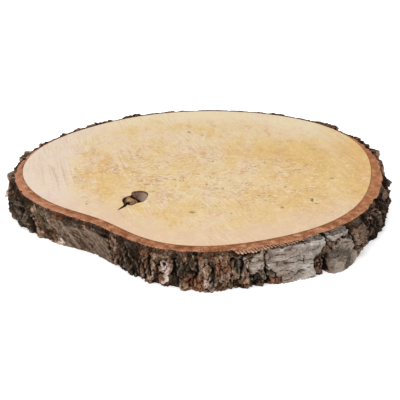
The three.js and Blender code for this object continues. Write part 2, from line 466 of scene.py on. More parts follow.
# %% Furrows
OUTER_BARK_WIDTH = 3.2
OUTER_BARK_BULGES = [(344, 14, 6.8), (314, 13, 9), (275, 30, 5), (196, 13, 6)]
OUTER_BARK_LEAST = 0.9
BARK_PROFILE = [  # height in mm, share of the full width there
    (0, 0.9), (3, 1), (20, 1), (26, 0.98), (31, 0.9), (34, 0.8),
]
NEAR_FURROWS = [  # direction, depth in mm, lean in degrees from foot to top
    (187, 5, 1), (191.5, 8, 2), (197, 9, 1), (203, 8, 2), (207.5, 6, -1), (213, 3, 1), (242, 5, -4),
    (245.5, 8, -5), (249.5, 9, -5), (253, 8, -5), (257, 6, -4), (264.8, 7, 1), (269.8, 5, 1),
    (275.5, 2, -1), (281.5, 6, 1), (284.3, 4, -1), (289, 7, 0), (307, 10, 1), (317.2, 7, -1),
    (324.5, 9, 1), (330, 5, 1), (336, 7, 1), (342, 8, 0), (348.5, 7, -1), (357.5, 8, 1),
]
FAR_FURROWS = [(at, 2.4 + 0.8 * math.sin(at), 1.2 * math.cos(2 * at)) for at in range(20, 184, 7)]
FURROW_HALF_WIDTH = 0.95  # degrees


def furrow_depth(angle, height, wander):
    """How deep the furrows are in mm, each moved sideways by wander, in degrees."""
    deepest = np.zeros_like(angle)
    for at, depth, lean in NEAR_FURROWS + FAR_FURROWS:
        off = wrap(angle + wander - at - lean * (height / THICKNESS - 0.5)) / FURROW_HALF_WIDTH
        deepest = np.maximum(deepest, depth * np.exp(-np.abs(off) ** 1.4))
    return deepest


print(len(NEAR_FURROWS) + len(FAR_FURROWS), "furrows")

# %% [markdown]
# ## Outer bark: the patches
# No two sides of this bark look alike. A smooth grey collar goes round the branch, a flaky whitish
# column and a white fleck stand in the middle, with rusty blocks where bark broke off lately. Each
# patch is a stretch of the wall, from one direction to another and from one height to another, with
# a ragged edge.

# %% Patches
AREAS = {  # each goes from and to a direction in degrees, and from and to a height in mm
    "pale": [
        (260.8, 262.8, 2, 32), (272.5, 273.7, 8, 14), (216.6, 219.2, 0, 5), (186.5, 191.5, 14, 28),
        (188.6, 192, 0, 12), (350.5, 353, 20, 32), (247, 248.4, 4, 20), (256.4, 257.8, 3, 18),
    ],
    "rust": [(267.2, 271.6, 0, 14), (255, 256.4, 24, 30), (287.4, 294.4, -1, 6), (276, 278.4, 18, 27)],
    "pink": [
        (242.6, 245.0, 20, 33), (208.4, 210.4, 8, 30), (282.6, 284.8, 14, 29), (277.5, 280, 10, 20),
        (318, 321, 27, 33), (326, 334, 29, 34), (340.5, 346.5, 26, 36), (353, 373, 28, 36),
    ],
    "moss": [
        (198, 206, 2, 33), (212.5, 214.5, 16, 25), (280, 283.2, 17, 31), (284.5, 289, 5, 13),
        (265.2, 268, 18, 31),
    ],
    "gloom": [
        (192, 209, -2, 36), (222, 231, 24, 36), (231, 242, 28, 36), (245, 254, -1, 36),
        (264, 266.4, 10, 34), (323, 326, -1, 36), (267, 270, 14, 30), (280.5, 284.5, 16, 30),
        (284.5, 290, -2, 13), (303, 306, 10, 22), (274, 275, 4, 30),
    ],
    "brown": [(273.8, 281, -1, 33), (265.5, 272, 14, 33), (244, 258, -1, 30)],
    "collar": [(216.5, 241.2, -6, 29)],
    "wild": [(324, 358, -20, 60)],
    "ridged": [(242, 259, -20, 60), (189, 208, -20, 60)],
    "back_grey": [(at, at + 7 + 3 * math.sin(3 * at), 3, 24) for at in range(30, 182, 19)],
}
RAGGEDNESS = {"pale": 0.7, "wild": 2, "ridged": 2, "back_grey": 1.5}  # 1 for the others
UNDERCUTS = [  # from and to a direction, the height of their top and their depth in mm
    (185, 207, 9, 3), (258, 266.5, 12, 3), (275.5, 279, 8, 2.5), (318, 331, 9.5, 4.5), (331, 350, 6, 1.5),
]
MM_PER_DEGREE = 2.7  # along the wall


def patch(areas, angle, height, ragged):
    """1 on those areas of the wall and 0 off them, with an edge moved about by ragged, in mm."""
    found = np.zeros_like(angle)
    for start, end, low, high in areas:
        middle = (start + end) / 2
        inside = (end - start) / 2 - np.abs(wrap(angle - middle))
        inside = np.minimum(inside * MM_PER_DEGREE, np.minimum(height - low, high - height))
        found = np.maximum(found, smooth(-0.5, 0.7, inside + ragged))
    return found


print(sum(len(areas) for areas in AREAS.values()), "areas of", len(AREAS), "kinds")

# %% [markdown]
# ## Outer bark: the big plates
# At the front right old papery bark still stands in plates one to four centimetres wide, with a
# black gap round each. A plate is a closed outline on the wall, in degrees and mm of height. Its
# surface is flatter than the ribs beside it and steps down in layers, like a stack of torn paper.

# %% Outlines of the big plates
SMALL_PLATE = [
    (284.2, 22), (284.8, 28), (286.5, 31), (288.4, 34), (288.9, 30), (288.8, 17), (287.5, 15),
    (285.2, 14.5), (284.5, 17.5),
]
LARGE_PLATE = [
    (289.4, 36), (289.3, 16), (291.2, 11), (293.2, 6.6), (293.6, -3), (302.4, -3), (304.1, 0.5),
    (303.1, 9.5), (302.7, 14.3), (303.8, 18.5), (305.3, 22.5), (306.9, 26), (307.4, 30), (307.2, 36),
]
ROUND_PLATE = [
    (308.0, -3), (307.8, 8), (307.9, 20), (308.9, 26), (310.5, 28.5), (313, 29), (315.3, 27.5), (316.3, 22),
    (316.2, 13), (318.4, 12), (319.2, 6), (317.6, 1), (314, -3),
]
LEDGE = [(307.4, 31), (309, 36), (316, 36), (315.4, 32), (311.5, 31.5), (309, 30.5)]
LUMPY_PLATE = [(317.4, 14), (317.6, 36), (323, 36), (323.3, 20), (322.4, 9), (319.6, 14)]


def is_inside(points, loop):
    """For each point, whether it lies inside the closed loop."""
    start = loop[None, :, :]
    end = np.roll(loop, -1, axis=0)[None, :, :]
    x, y = points[:, None, 0], points[:, None, 1]
    crosses = (start[..., 1] > y) != (end[..., 1] > y)
    rise = np.where(end[..., 1] == start[..., 1], 1, end[..., 1] - start[..., 1])
    reach = start[..., 0] + (y - start[..., 1]) * (end[..., 0] - start[..., 0]) / rise
    return (crosses & (x < reach)).sum(axis=1) % 2 == 1


def distance_to_line(points, line):
    """How far each point is from a line of short straight stretches."""
    nearest = np.full(len(points), 1e9)
    for start, end in zip(np.array(line)[:-1], np.array(line)[1:]):
        way = end - start
        share = np.clip((points - start) @ way / np.sum(way**2), 0, 1)
        away = np.linalg.norm(points - start - share[:, None] * way, axis=1)
        nearest = np.minimum(nearest, away)
    return nearest


def plate_reach(outline, angle, height, ragged):
    """How far inside the outline each place on the wall is, in mm, and below 0 outside it."""
    loop = np.array(outline) * (MM_PER_DEGREE, 1)
    spots = np.stack([angle * MM_PER_DEGREE, height], axis=-1).reshape(-1, 2)
    away = distance_to_line(spots, [*loop, loop[0]])
    return np.where(is_inside(spots, loop), away, -away).reshape(angle.shape) + ragged


print("the large plate has", len(LARGE_PLATE), "corners")

# %% [markdown]
# ## Outer bark: the scallops of the far rim
# Round the back the bark broke off in curved flakes. Each grows thicker along the rim and then
# stops short, so the rim has a row of scallops, like a saw's teeth laid over. Between them the bark
# is gone but for a skin.

# %% Scallops
SCALLOPS = [  # where a flake starts, where it stops short, and how thick it gets in mm
    (16.6, 12.8, 8), (30, 17.6, 4.5), (48, 35.5, 6), (67, 56, 3.4), (104, 99.5, 3.5), (112, 106, 4),
    (122, 113.5, 6.5), (131, 125.5, 6), (138.5, 131.5, 5.5), (145, 138.8, 4.5), (154, 147, 4),
    (164, 156, 4), (175, 167, 6),
]
FLAKE_END = 0.9  # degrees over which a flake stops


def scallop_height(angle):
    """How thick the flakes of the far rim are at that direction, in mm."""
    highest = np.zeros_like(angle)
    for start, stop, high in SCALLOPS:
        rise = np.clip((start - angle) / (start - stop), 0, 1) ** 0.8
        highest = np.maximum(highest, high * rise * smooth(stop - FLAKE_END, stop, angle))
    return highest


print(len(SCALLOPS), "scallops")

# %% [markdown]
# ## Outer bark: the section and its surface
# The section goes up the hidden inner side, across the sawn top, down the wall and back under.
# The wall is the furrows above, then ribs, chips and slivers, each a set of cells that stand out by
# different amounts with cracks between them. All of it is real shape, and not bump alone, because
# the bark is seen against the light at the rim. The near half gets more columns than the far half.

# %% Grid of the bark wall
COLUMNS = 1560
NEAR_COLUMNS = 940
TOP_ROWS = 10
WALL_ROWS = 48
far_half = np.linspace(0, 180, COLUMNS - NEAR_COLUMNS, endpoint=False)
near_half = np.linspace(180, 360, NEAR_COLUMNS, endpoint=False)
directions = np.concatenate([far_half, near_half])
section = [(0.0, 0.0), (0.0, THICKNESS / 2)]  # share of the way out, height in mm
section += [(across, THICKNESS) for across in np.linspace(0, 1, TOP_ROWS, endpoint=False)]
section += [(1.0, height) for height in np.linspace(THICKNESS, 0, WALL_ROWS)]
section += [(0.5, 0.0)]


def section_grids(section):
    """For every column of the ring and every point of the section: across, height and direction."""
    across, height = (np.array(column)[:, None] for column in zip(*section))
    return np.broadcast_arrays(across, height, directions[None, :])


def seam_radius(angle, height):
    """The torn edge between the inner and the outer bark."""
    radius = inner_bark_radius(angle, height)
    place = ring_points(angle, radius, height)
    torn = 2.0 * (lumps(place, (7, 7, 60), 15) - 0.6) + 0.8 * (lumps(place, (1.8, 1.8, 60), 19) - 0.5)
    torn = torn - 1.6 * smooth(0.76, 0.9, lumps(place, (3.4, 3.4, 60), 22))
    return radius + np.maximum(torn, -0.5 * (radius - wood_radius(angle, height) - HAIRLINE))


across, height, angle = section_grids(section)
inner = seam_radius(angle, height)
profile = np.interp(height, *zip(*BARK_PROFILE))
far_side = smooth(8, 22, angle) * smooth(190, 176, angle)
width = (OUTER_BARK_WIDTH * (1 - 0.45 * far_side) + bulging(OUTER_BARK_BULGES, angle)) * profile
place = ring_points(angle, inner + across * width, height)
print("bark grid", angle.shape)

# %% [markdown]
# ## Outer bark: the patches on the wall
# A patch with a straight edge would look like a sticker. Noise moves each edge by a few millimetres,
# more for the wide patches, and the whitish column also sways from side to side. The ribs don't run
# straight up everywhere either: in three places they lean.

# %% Where the patches lie, and which way the ribs lean
COLUMN_FROM, COLUMN_TO = 250, 266  # the whitish column stands between these directions
RIB_LEANS = [(250, 9, -8), (200, 10, 4), (345, 20, 3)]  # direction, spread, degrees from foot to top
ragged = 6 * (lumps(place, (7, 7, 7), 11) - 0.5) + 3 * (lumps(place, (2.2, 2.2, 2.2), 12) - 0.5)
sway = 2.4 * (lumps(place, (9, 9, 8), 38) - 0.5) * (angle > COLUMN_FROM) * (angle < COLUMN_TO)
on_patch = {}
for name, areas in AREAS.items():
    looked_at = angle + sway if name == "pale" else angle
    on_patch[name] = patch(areas, looked_at, height, RAGGEDNESS.get(name, 1) * ragged)
on_patch["pale"] = on_patch["pale"] * smooth(0.26, 0.42, lumps(place, (2.6, 2.6, 3.4), 39))
pale = on_patch["pale"]
collar = on_patch["collar"]
wild = on_patch["wild"]
ridged = on_patch["ridged"]
back_grey = on_patch["back_grey"]
lean = bulging(RIB_LEANS, angle)
leaning = ring_points(angle + lean * (height / THICKNESS - 0.5), inner + across * width, height)
print("whitish patches cover", round(100 * float(pale.mean()), 1), "percent of the section")

# %% [markdown]
# ## Outer bark: ribs, chips and slivers
# Between the furrows the bark breaks again and again into smaller pieces. Cells of several sizes
# stand for that. Their places are moved about a little first, because a cell's own edges are
# straight. Two stretches have long upright ridges, and the wild right end has narrow slabs.

# %% Ribs, chips and slivers
def crossing(place, size, seed):
    """Thin winding lines, 1 on the line and 0 away from it, where soft noise passes its middle."""
    return 1 - np.abs(2 * lumps(place, size, seed) - 1)


def warped(place, most, size, seed):
    """The places moved by up to that many mm, so that cells lose their straight edges."""
    moves = [lumps(place, (size, size, size), seed + k) - 0.5 for k in range(3)]
    return place + 2 * most * np.stack(moves, axis=-1)


rib_edge, rib_tone = plates(warped(leaning, 3.4, 7, 3), (6.2, 6.2, 13), 20)
ridge_edge, ridge_tone = plates(warped(leaning, 1.6, 6, 24), (4.2, 4.2, 44), 60)
rib_edge = rib_edge + (ridge_edge - rib_edge) * ridged
rib_tone = rib_tone + (ridge_tone - rib_tone) * ridged
chip_edge, chip_tone = plates(warped(leaning, 2.0, 3.6, 23), (3.2, 3.2, 5), 30)
sliver_tone = plates(warped(leaning, 1.0, 2.0, 26), (1.5, 1.5, 2.8), 50)[1]
block_tone = plates(warped(place, 4, 8, 16), (11, 11, 11), 40)[1]
slab_edge, slab_tone = plates(warped(leaning, 2.4, 7, 44), (6.5, 6.5, 19), 70)
splits = smooth(0.86, 1.0, crossing(leaning, (4, 4, 22), 5))
splits = splits + 0.7 * smooth(0.8, 1, crossing(leaning, (2, 2, 8), 6))
rib_crack = np.exp(-((rib_edge / 0.09) ** 2))
chip_crack = np.exp(-((chip_edge / 0.12) ** 2))
slab_crack = np.exp(-((slab_edge / 0.12) ** 2))
grain = lumps(place, (1.0, 1.0, 1.4), 7) - 0.5
slant = warped(ring_points(angle + height * 0.4, inner, height * 0.5), 1.5, 5, 33)
streak = 0.6 * lumps(slant, (1.6, 1.6, 9), 10) + 0.4 * lumps(slant, (4, 4, 14), 18)
print("ribs, chips and slivers cover", angle.size, "places")

# %% [markdown]
# ## Outer bark: the furrowed surface
# How far the bark stands off is one sum: its full width, less the furrows, less what the ribs, chips
# and slivers leave out, with a fine grain on top. The collar and the grey patches are calm. A place
# with little bark is calm too, because there is nothing to break off.

# %% Furrowed surface
full = width + scallop_height(angle + 1.5 * (lumps(place, (3, 3, 9), 17) - 0.5))
uneven = 0.45 + 1.0 * lumps(place, (7, 7, 9), 21)
wander = 3.0 * (lumps(place, (9, 9, 11), 1) - 0.5) + 1.8 * (lumps(place, (3, 3, 4), 2) - 0.5)
furrows = furrow_depth(angle, height, wander) * uneven * (1 - 0.8 * collar)
calm = np.maximum(0.9 * collar, 0.6 * back_grey)
rough = 0.3 * splits + 2.6 * (1 - rib_tone) + 1.5 * rib_crack + 1.6 * (1 - block_tone)
rough = rough + 1.0 * (1 - chip_tone) + 0.5 * chip_crack + 0.4 * (1 - sliver_tone) - 2.8
rough = rough * (1 - calm) * (1 - 0.4 * pale) * (0.45 + 0.55 * smooth(2, 6, full))
rough = rough * (1 - 0.55 * wild) + wild * (4.6 * (1 - slab_tone) + 3.0 * slab_crack - 0.9)
surface = full - furrows - rough + 0.7 * grain * (1 - 0.4 * calm)
surface = surface + pale * (0.5 + 1.2 * (chip_tone - 0.5)) + collar * 1.1 * (streak - 0.5)
print("furrows are up to", round(float(furrows.max()), 1), "mm deep")

# %% [markdown]
# ## Outer bark: plates on the ribs
# A plate stands behind a gap. The papery plates step down in level layers. The round one steps down
# in shells about its middle, and the lumpy one is broken like the ribs beside it. One function sets
# each of them into the surface, so that they differ only in their outline and their steps.

# %% Plates on the ribs
SHELL_MIDDLE = (310, 4)  # direction, height
SHELL_WIDTH = 3.2
layers = np.floor(9 * lumps(warped(place, 1.5, 4, 36), (12, 12, 5), 8)) / 9
level_cracks = smooth(0.9, 1, crossing(place, (13, 13, 3.0), 9))
from_middle = np.hypot((angle - SHELL_MIDDLE[0]) * MM_PER_DEGREE, 0.8 * (height - SHELL_MIDDLE[1]))
shells = np.floor((from_middle + 9 * lumps(place, (9, 9, 9), 34)) / SHELL_WIDTH)
paper_steps = 2.6 * (1 - layers) + level_cracks - 0.4
shell_steps = 0.55 * shells - 1.2 + 0.9 * level_cracks
flaky = 0.5 * (1 - chip_tone)
lumpy = 2.4 * (1 - block_tone) + 1.2 * (1 - chip_tone) - 1.4


def with_plate(surface, outline, lift, steps, broken):
    """The surface with a plate standing on it behind a gap, and the share of plate at each place."""
    reach = plate_reach(outline, angle, height, 0.5 * ragged + 2.2 * (chip_tone - 0.5))
    share = smooth(-0.2, 0.6, reach)
    standing = full + lift + 0.5 - steps - broken + 0.6 * grain
    gap = 3.6 * rib_tone * np.exp(-(((reach + 0.7) / 0.8) ** 2))
    return surface * (1 - share) + standing * share - gap, share


silver = np.zeros_like(angle)
for outline, lift in ((SMALL_PLATE, 0.4), (LARGE_PLATE, 0.4), (LEDGE, 0.0)):
    surface, share = with_plate(surface, outline, lift, paper_steps, flaky)
    silver = np.maximum(silver, share)
surface, boulder = with_plate(surface, ROUND_PLATE, 1.2, shell_steps, flaky)
surface, chunk = with_plate(surface, LUMPY_PLATE, 1.0, paper_steps, lumpy)
print("plates cover", round(100 * float(np.maximum(silver, boulder).mean()), 1), "percent of the section")

# %% [markdown]
# ## Outer bark: undercuts, foot and hollows
# At some places the bark broke off near the foot, so what is above it overhangs. At the foot of the
# right end and at the top edge of the near side the surface is blurred a little, because thin
# spikes don't last there. Last, the surface is compared with its own mean round about: what lies
# lower is a hollow, and the material will paint shade into it.

# %% Undercuts, foot and hollows
FIRST_WALL_ROW = 2 + TOP_ROWS


def blurred(values, rows, columns):
    """The mean of each value's neighbours, that many rows and columns each way."""
    for axis, reach in ((0, rows), (1, columns)):
        values = sum(np.roll(values, k, axis=axis) for k in range(-reach, reach + 1)) / (2 * reach + 1)
    return values


for start, end, top, deep in UNDERCUTS:
    surface = surface - deep * patch([(start, end, -20, top)], angle, height, ragged)
surface = np.maximum(surface, OUTER_BARK_LEAST)
near_foot = 0.7 * wild * smooth(6, 0, height)
surface = surface * (1 - near_foot) + blurred(surface, 1, 6) * near_foot
broken_top = smooth(186, 192, angle) * smooth(352, 346, angle)
near_edge = 0.75 * smooth(27, THICKNESS, height) * broken_top
surface = surface * (1 - near_edge) + blurred(surface, 1, 5) * near_edge
surface[:FIRST_WALL_ROW] = surface[FIRST_WALL_ROW]
surface[-1] = surface[-2]

# the material paints shade where the surface lies below its neighbours and a highlight where it stands
# above
hollow = blurred(surface, 5, 8) - surface
pit = blurred(surface, 2, 3) - surface
depth = np.clip((full - surface - 2.0) / np.maximum(5.0, 0.8 * full), 0, 1)
print("bark stands", surface.min().round(2), "to", surface.max().round(2), "mm off the inner bark")

# %% [markdown]
# ## Outer bark: the crumbled top edge
# The saw leaves no clean edge on dead bark: crumbs break off, more of them on the near side. Where
# a comb of torn fibres will hang over the bark, its top lies lower, so that the comb shows, and it
# gets painted shade under the comb. Beside the large plate the comb is short, and there only the
# strip next to the inner bark gets that painted shade.

# %% Crumbled top edge
COMB_STARTS = 280
COMB_SHORTENS = 289.2
COMB_ENDS = 303
near_top = smooth(22, THICKNESS, height) * (0.2 + 0.8 * broken_top)
crumble = (0.8 + 1.2 * (1 - chip_tone) + 2.8 * (1 - rib_tone)) * smooth(0.0, 1.0, across) * near_top
crumble = crumble * (1 - 0.8 * np.maximum(silver, boulder))
short_part = smooth(COMB_SHORTENS, COMB_SHORTENS + 1.4, angle)
long_part = smooth(COMB_SHORTENS + 1.4, COMB_SHORTENS, angle)
under_comb = smooth(COMB_STARTS, COMB_STARTS + 1.2, angle) * long_part
beside_plate = short_part * smooth(COMB_ENDS, COMB_ENDS - 1.5, angle)
crumble = crumble + (1.6 * under_comb + 1.1 * beside_plate) * near_top
# where painted shade goes on the sawn top: under the comb, and beside the plate only the inner strip
under_comb = under_comb + beside_plate * smooth(0.7, 0.4, across)
crumbs = lumps(place + 40 * across[..., None], (1.8, 1.8, 1.8), 14)
crumble = crumble + 0.7 * crumbs * (across > 0) * near_top
bark_radius = inner + HAIRLINE + across * (surface - HAIRLINE)
bark_points = ring_points(angle, bark_radius, height - crumble)
print("the top edge crumbles by up to", round(float(crumble.max()), 1), "mm")

# %% [markdown]
# ## Outer bark: what its material will ask for
# A material can't look at its neighbours, but the arrays can. So each point of the mesh takes along
# what was measured here: how deep it lies, on which patch, and in which tone its rib and its chip
# are to be painted.

# %% Values of the bark's points
sawn = (across < 0.97) & (height > 30)
bark_values = {
    "depth": depth,
    "hollow": hollow,
    "pit": pit,
    "tone": 0.35 * rib_tone + 0.4 * chip_tone + 0.25 * sliver_tone,
    "hue": rib_tone * 7.77 % 1,
    "chip_hue": chip_tone * 9.31 % 1,
    "block": block_tone + (slab_tone - block_tone) * wild,
    "silver": np.maximum(silver, 0.7 * back_grey),
    "boulder": boulder,
    "chunk": chunk,
    "layer": np.where(boulder > silver, np.sin(7.3 * shells) * 0.5 + 0.5, layers),
    "tears": level_cracks,
    "bluish": smooth(295, 302, angle + 0.5 * ragged),
    "streak": streak,
    "across": across,
    "sawn": sawn * 1.0,
    "crack": np.maximum(rib_crack, 0.6 * chip_crack) * sawn,
    "under_comb": under_comb,
}
for name in ("pale", "rust", "pink", "moss", "gloom", "brown", "collar", "wild"):
    bark_values[name] = on_patch[name]
print(len(bark_values), "values at each point of the bark")

# %% [markdown]
# ## Outer bark: its colours
# Old bark is grey-brown on the plates, reddish where a plate broke, and almost black down in the
# cracks, where no light and no rain gets. One ramp gives the browns, chip by chip, the patches are
# mixed over it, and the hollows darken all of it last, while the ridges get lighter from wear.

# %% Browns
bark_material, bark_shader, spot = start_material("outer_bark")
fine = speckle(at_scale(spot, 1.3, 1.3, 2.0), 3, 0.7)
mottle = speckle(at_scale(spot, 5, 5, 7), 2, 0.6)
BARK_BROWNS = [
    (0.0, rgb(28, 18, 11)), (0.26, rgb(62, 43, 29)), (0.48, rgb(108, 80, 59)),
    (0.68, rgb(152, 122, 99)), (0.95, rgb(222, 200, 184)),
]
broad = speckle(at_scale(spot, 12, 12, 16), 2, 0.6)
brownness = 0.75 * measured(spot, "tone") + 1.0 * fine + 0.4 * mottle + 0.6 * broad - 1.12
brownness = brownness + 0.4 * measured(spot, "block")
browns = brownness.node("ShaderNodeValToRGB", {"stops": BARK_BROWNS}, {"Fac": brownness})
hue = measured(spot, "hue")
chip_hue = measured(spot, "chip_hue")
browns = mix(hue.ease(0.74, 0.84) * 0.5, browns, mix(fine, rgb(66, 34, 20), rgb(150, 94, 66)))
browns = mix((1 - hue.ease(0.14, 0.3)) * 0.5, browns, mix(fine, rgb(44, 43, 33), rgb(126, 122, 104)))
browns = mix(chip_hue.ease(0.9, 0.95) * 0.28, browns, mix(fine, rgb(150, 122, 108), rgb(224, 208, 196)))
browns = mix((1 - chip_hue.ease(0.06, 0.1)) * 0.45, browns, mix(fine, rgb(90, 46, 28), rgb(160, 96, 62)))
print("browns take", len(bark_material.node_tree.nodes), "nodes")

# %% [markdown]
# ## Outer bark: the colours of the patches
# Papery bark is silver-grey with level streaks and dark tears, the collar is a smooth grey, and
# broken bark is rusty or pink. Each colour is mixed over the browns where the mesh says that its
# patch is, by a loop over their names.

# %% Patches of other colours
flat_streak = speckle(at_scale(spot, 6, 6, 1.1), 3, 0.7)
cloud = speckle(at_scale(spot, 9, 9, 6), 2, 0.5)
SILVERS = [
    (0.16, rgb(70, 57, 48)), (0.32, rgb(136, 120, 107)),
    (0.5, rgb(176, 160, 144)), (0.72, rgb(224, 218, 210)),
]
silver_tone = 0.8 * flat_streak + 0.5 * fine + 0.4 * measured(spot, "layer") - 0.32
silver_paint = silver_tone.node("ShaderNodeValToRGB", {"stops": SILVERS}, {"Fac": silver_tone})
silver_paint = mix(measured(spot, "bluish"), mix(0.3, silver_paint, rgb(134, 114, 106)), silver_paint)
silver_paint = mix(measured(spot, "bluish") * 0.2, silver_paint, rgb(196, 198, 198))
off_middle = flat_streak - 0.5
paper_gap = off_middle.maths("ABSOLUTE", off_middle).ease(0.0, 0.022)
silver_paint = mix((1 - paper_gap) * cloud.ease(0.4, 0.55) * 0.8, silver_paint, rgb(48, 36, 28))
silver_paint = mix(measured(spot, "tears") * fine.ease(0.3, 0.55) * 0.8, silver_paint, rgb(58, 44, 34))
collar_tone = 0.5 * measured(spot, "streak") + 0.6 * fine
collar_paint = mix(collar_tone.ease(0.38, 0.72), rgb(58, 44, 34), rgb(150, 128, 109))
boulder_tone = 0.7 * fine + 0.3 * measured(spot, "layer")
boulder_paint = mix(boulder_tone.ease(0.28, 0.72), rgb(38, 28, 21), rgb(140, 118, 100))
patches = (  # the value that says where, the colour, and how much of it
    ("brown", mix(fine.ease(0.3, 0.7), rgb(50, 35, 25), rgb(142, 108, 84)), 0.55),
    ("collar", collar_paint, 0.9),
    ("rust", mix(fine.ease(0.3, 0.7), rgb(80, 44, 28), rgb(158, 104, 72)), 0.7),
    ("moss", mix(fine.ease(0.3, 0.7), rgb(38, 40, 32), rgb(108, 108, 90)), 0.6),
    ("pink", mix(fine.ease(0.3, 0.7), rgb(104, 70, 56), rgb(206, 166, 148)), 0.7),
    ("chunk", mix(flat_streak.ease(0.4, 0.6), rgb(58, 44, 35), rgb(134, 114, 98)), 0.8),
    ("silver", silver_paint, 0.96),
    ("boulder", mix(0.75, silver_paint, boulder_paint), 0.95),
    ("pale", mix(fine.ease(0.34, 0.6), rgb(150, 118, 102), rgb(240, 220, 208)), 0.85),
)
colour = browns
for name, paint, most in patches:
    colour = mix(measured(spot, name) * most, colour, paint)
print(len(patches), "colours over the browns")

# %% [markdown]
# ## Outer bark: hollows, ridges and the sawn top
# Cracks in bark are dark, partly from dirt that stays there and partly because little light gets
# in. The light of the scene alone leaves them too pale, so what lies low gets painted shade, and
# what stands out gets a painted highlight. The sawn top is darker than the wall, with a few reddish
# crumbs from the inner bark.

# %% Painted shade in the hollows, painted highlight on the ridges, and the sawn top
low = measured(spot, "hollow")
lowest = measured(spot, "pit")
wildness = measured(spot, "wild") * (1 - measured(spot, "pink") * 0.7)
colour = mix(wildness * (1.15 - 0.35 * measured(spot, "block")), colour, rgb(25, 18, 12))
colour = mix(measured(spot, "gloom") * 0.7, colour, rgb(25, 20, 13))
# painted highlight: what stands above its neighbours is painted lighter
painted_ridge_highlight = (0 - lowest).ease(0.3, 1.5)
painted_ridge_highlight = painted_ridge_highlight * (1 - measured(spot, "silver") * 0.9) * (1 - measured(spot, "boulder") * 0.8)
colour = mix(painted_ridge_highlight * (1 - wildness * 0.6) * 0.26, colour, rgb(200, 174, 154))
# painted shade: deep furrows and hollows are painted dark
lit = (1 - measured(spot, "depth").ease(0.3, 1.0)) * (1 - low.ease(0.5, 2.4))
lit = lit * (1 - lowest.ease(0.12, 0.9) * 0.85)
painted_hollow_shade = (1 - lit) * 0.94
reddish = fine.ease(0.46, 0.62) * (1 - measured(spot, "across").ease(0.05, 0.5))
top_paint = mix(reddish * 0.35, mix(0.45, colour, rgb(56, 38, 28)), rgb(172, 122, 96))
# painted shade on the sawn top under the overhanging comb of fibres
top_paint = mix(measured(spot, "under_comb") * 0.9, top_paint, rgb(56, 27, 18))
colour = mix(measured(spot, "sawn"), colour, top_paint)
# painted shade in the hollows and in the cracks of the sawn top
colour = mix(painted_hollow_shade + measured(spot, "crack") * 0.85, colour, rgb(20, 13, 8))
finish_material(bark_shader, colour, 0.8 + 0.2 * fine, 0.06, fine + 0.4 * mottle, 1.0)

make_piece(
    "furrowed_bark", bark_points.reshape(-1, 3), ring_faces(*angle.shape), bark_values,
    bark_material, "outer_bark",
)

# %% [markdown]
# ## Curled flakes
# Old papery bark lets go at one end and curls off the trunk, whitish and thin. A flake is a sheet
# of half a millimetre that starts in the bark and lifts away along its length, with a torn outline.
# Each is a piece of its own, made by one function, so that they cast real shadows and break the
# outline of the rim.

# %% Flakes
FLAKES = [  # direction, height, length, width, turn from level, lift at the free end, paleness
    (308.3, 28.8, 13, 3.6, -42, 2.0, 1.0),
    (189.5, 27, 10, 5, -84, 3.4, 0.6),
    (192.5, 14, 10, 4, -95, 2.4, 0.5),
    (351.3, 27, 7, 3.2, -75, 1.8, 0.9),
    (303.4, 31.5, 9, 2.4, -12, 1.0, 1.0),
    (283.2, 28, 10, 2.8, -70, 1.4, 0.6),
    (218.2, 8, 9, 2.2, -20, 1.0, 0.8),
    (262.0, 14, 7, 2.4, -80, 1.0, 0.9),
    (96, 27, 12, 4.5, -80, 1.6, 0.4),
    (143, 25, 13, 5, -75, 1.6, 0.6),
    (58, 26, 14, 5, -85, 1.8, 0.5),
    (22, 26, 12, 4, -80, 1.6, 0.6),
]
FLAKE_ROWS = 16
FLAKE_COLUMNS = 9
wall_radius = blurred(bark_radius, 2, 3)


def wall_at(angle, height):
    """The distance of the bark's surface from the pith at those places."""
    column = np.searchsorted(directions, angle % 360) % COLUMNS
    row = np.round((THICKNESS - height) / THICKNESS * (WALL_ROWS - 1))
    row = np.clip(row, 0, WALL_ROWS - 1).astype(int)
    return wall_radius[FIRST_WALL_ROW + row, column]


def flake_points(at, height, length, width, turn, lift, seed):
    """The directions, distances and heights of a flake's outer layer, from its root to its free end."""
    steps = (np.linspace(0, 1, FLAKE_ROWS), np.linspace(-1, 1, FLAKE_COLUMNS))
    along, aside = np.meshgrid(*steps, indexing="ij")
    shape = np.sqrt(np.clip(1.02 - (2 * along - 1) ** 4, 0, 1))
    spot = np.stack([along * 5, aside * 2, along * 0 + seed], axis=-1)
    half = width / 2 * shape * (0.65 + 0.7 * lumps(spot, (1, 1, 1), 81))
    forward, sideways = along * length, aside * half
    turned = math.radians(turn)
    angle = at + (forward * math.cos(turned) - sideways * math.sin(turned)) / MM_PER_DEGREE
    level = height + forward * math.sin(turned) + sideways * math.cos(turned)
    level = np.clip(level, 0.3, THICKNESS - 0.3)
    rise = lift * along**1.6 - 0.5 + 0.5 * aside**2 * lift * along + 0.5 * lumps(spot, (1, 1, 1), 82)
    root = wall_at(np.array([at]), np.array([height]))[0]
    return angle, 0.35 * wall_at(angle, level) + 0.65 * root + rise, level


def sheet_faces(rows, columns):
    """Faces of a closed sheet: an outer layer, an inner layer and the edge between them."""
    count = rows * columns
    faces = []
    for row in range(rows - 1):
        for column in range(columns - 1):
            near = row * columns + column
            corners = (near, near + 1, near + columns + 1, near + columns)
            faces.append(corners)
            faces.append(tuple(count + k for k in corners[::-1]))
    rim = list(range(columns)) + [row * columns + columns - 1 for row in range(1, rows)]
    rim += [count - 1 - k for k in range(1, columns)] + [row * columns for row in range(rows - 2, 0, -1)]
    for here, there in zip(rim, rim[1:] + rim[:1]):
        faces.append((here, here + count, there + count, there))
    return faces


print(len(FLAKES), "flakes of", FLAKE_ROWS, "by", FLAKE_COLUMNS, "points")

# %% [markdown]
# ## Curled flakes: paint and pieces
# One material serves all flakes. How pale each one is comes with its points, as a value, and so
# does the place along it, because a flake is darker where it grows out of the bark.

# %% Flakes as pieces
FLAKE_THICKNESS = 0.5

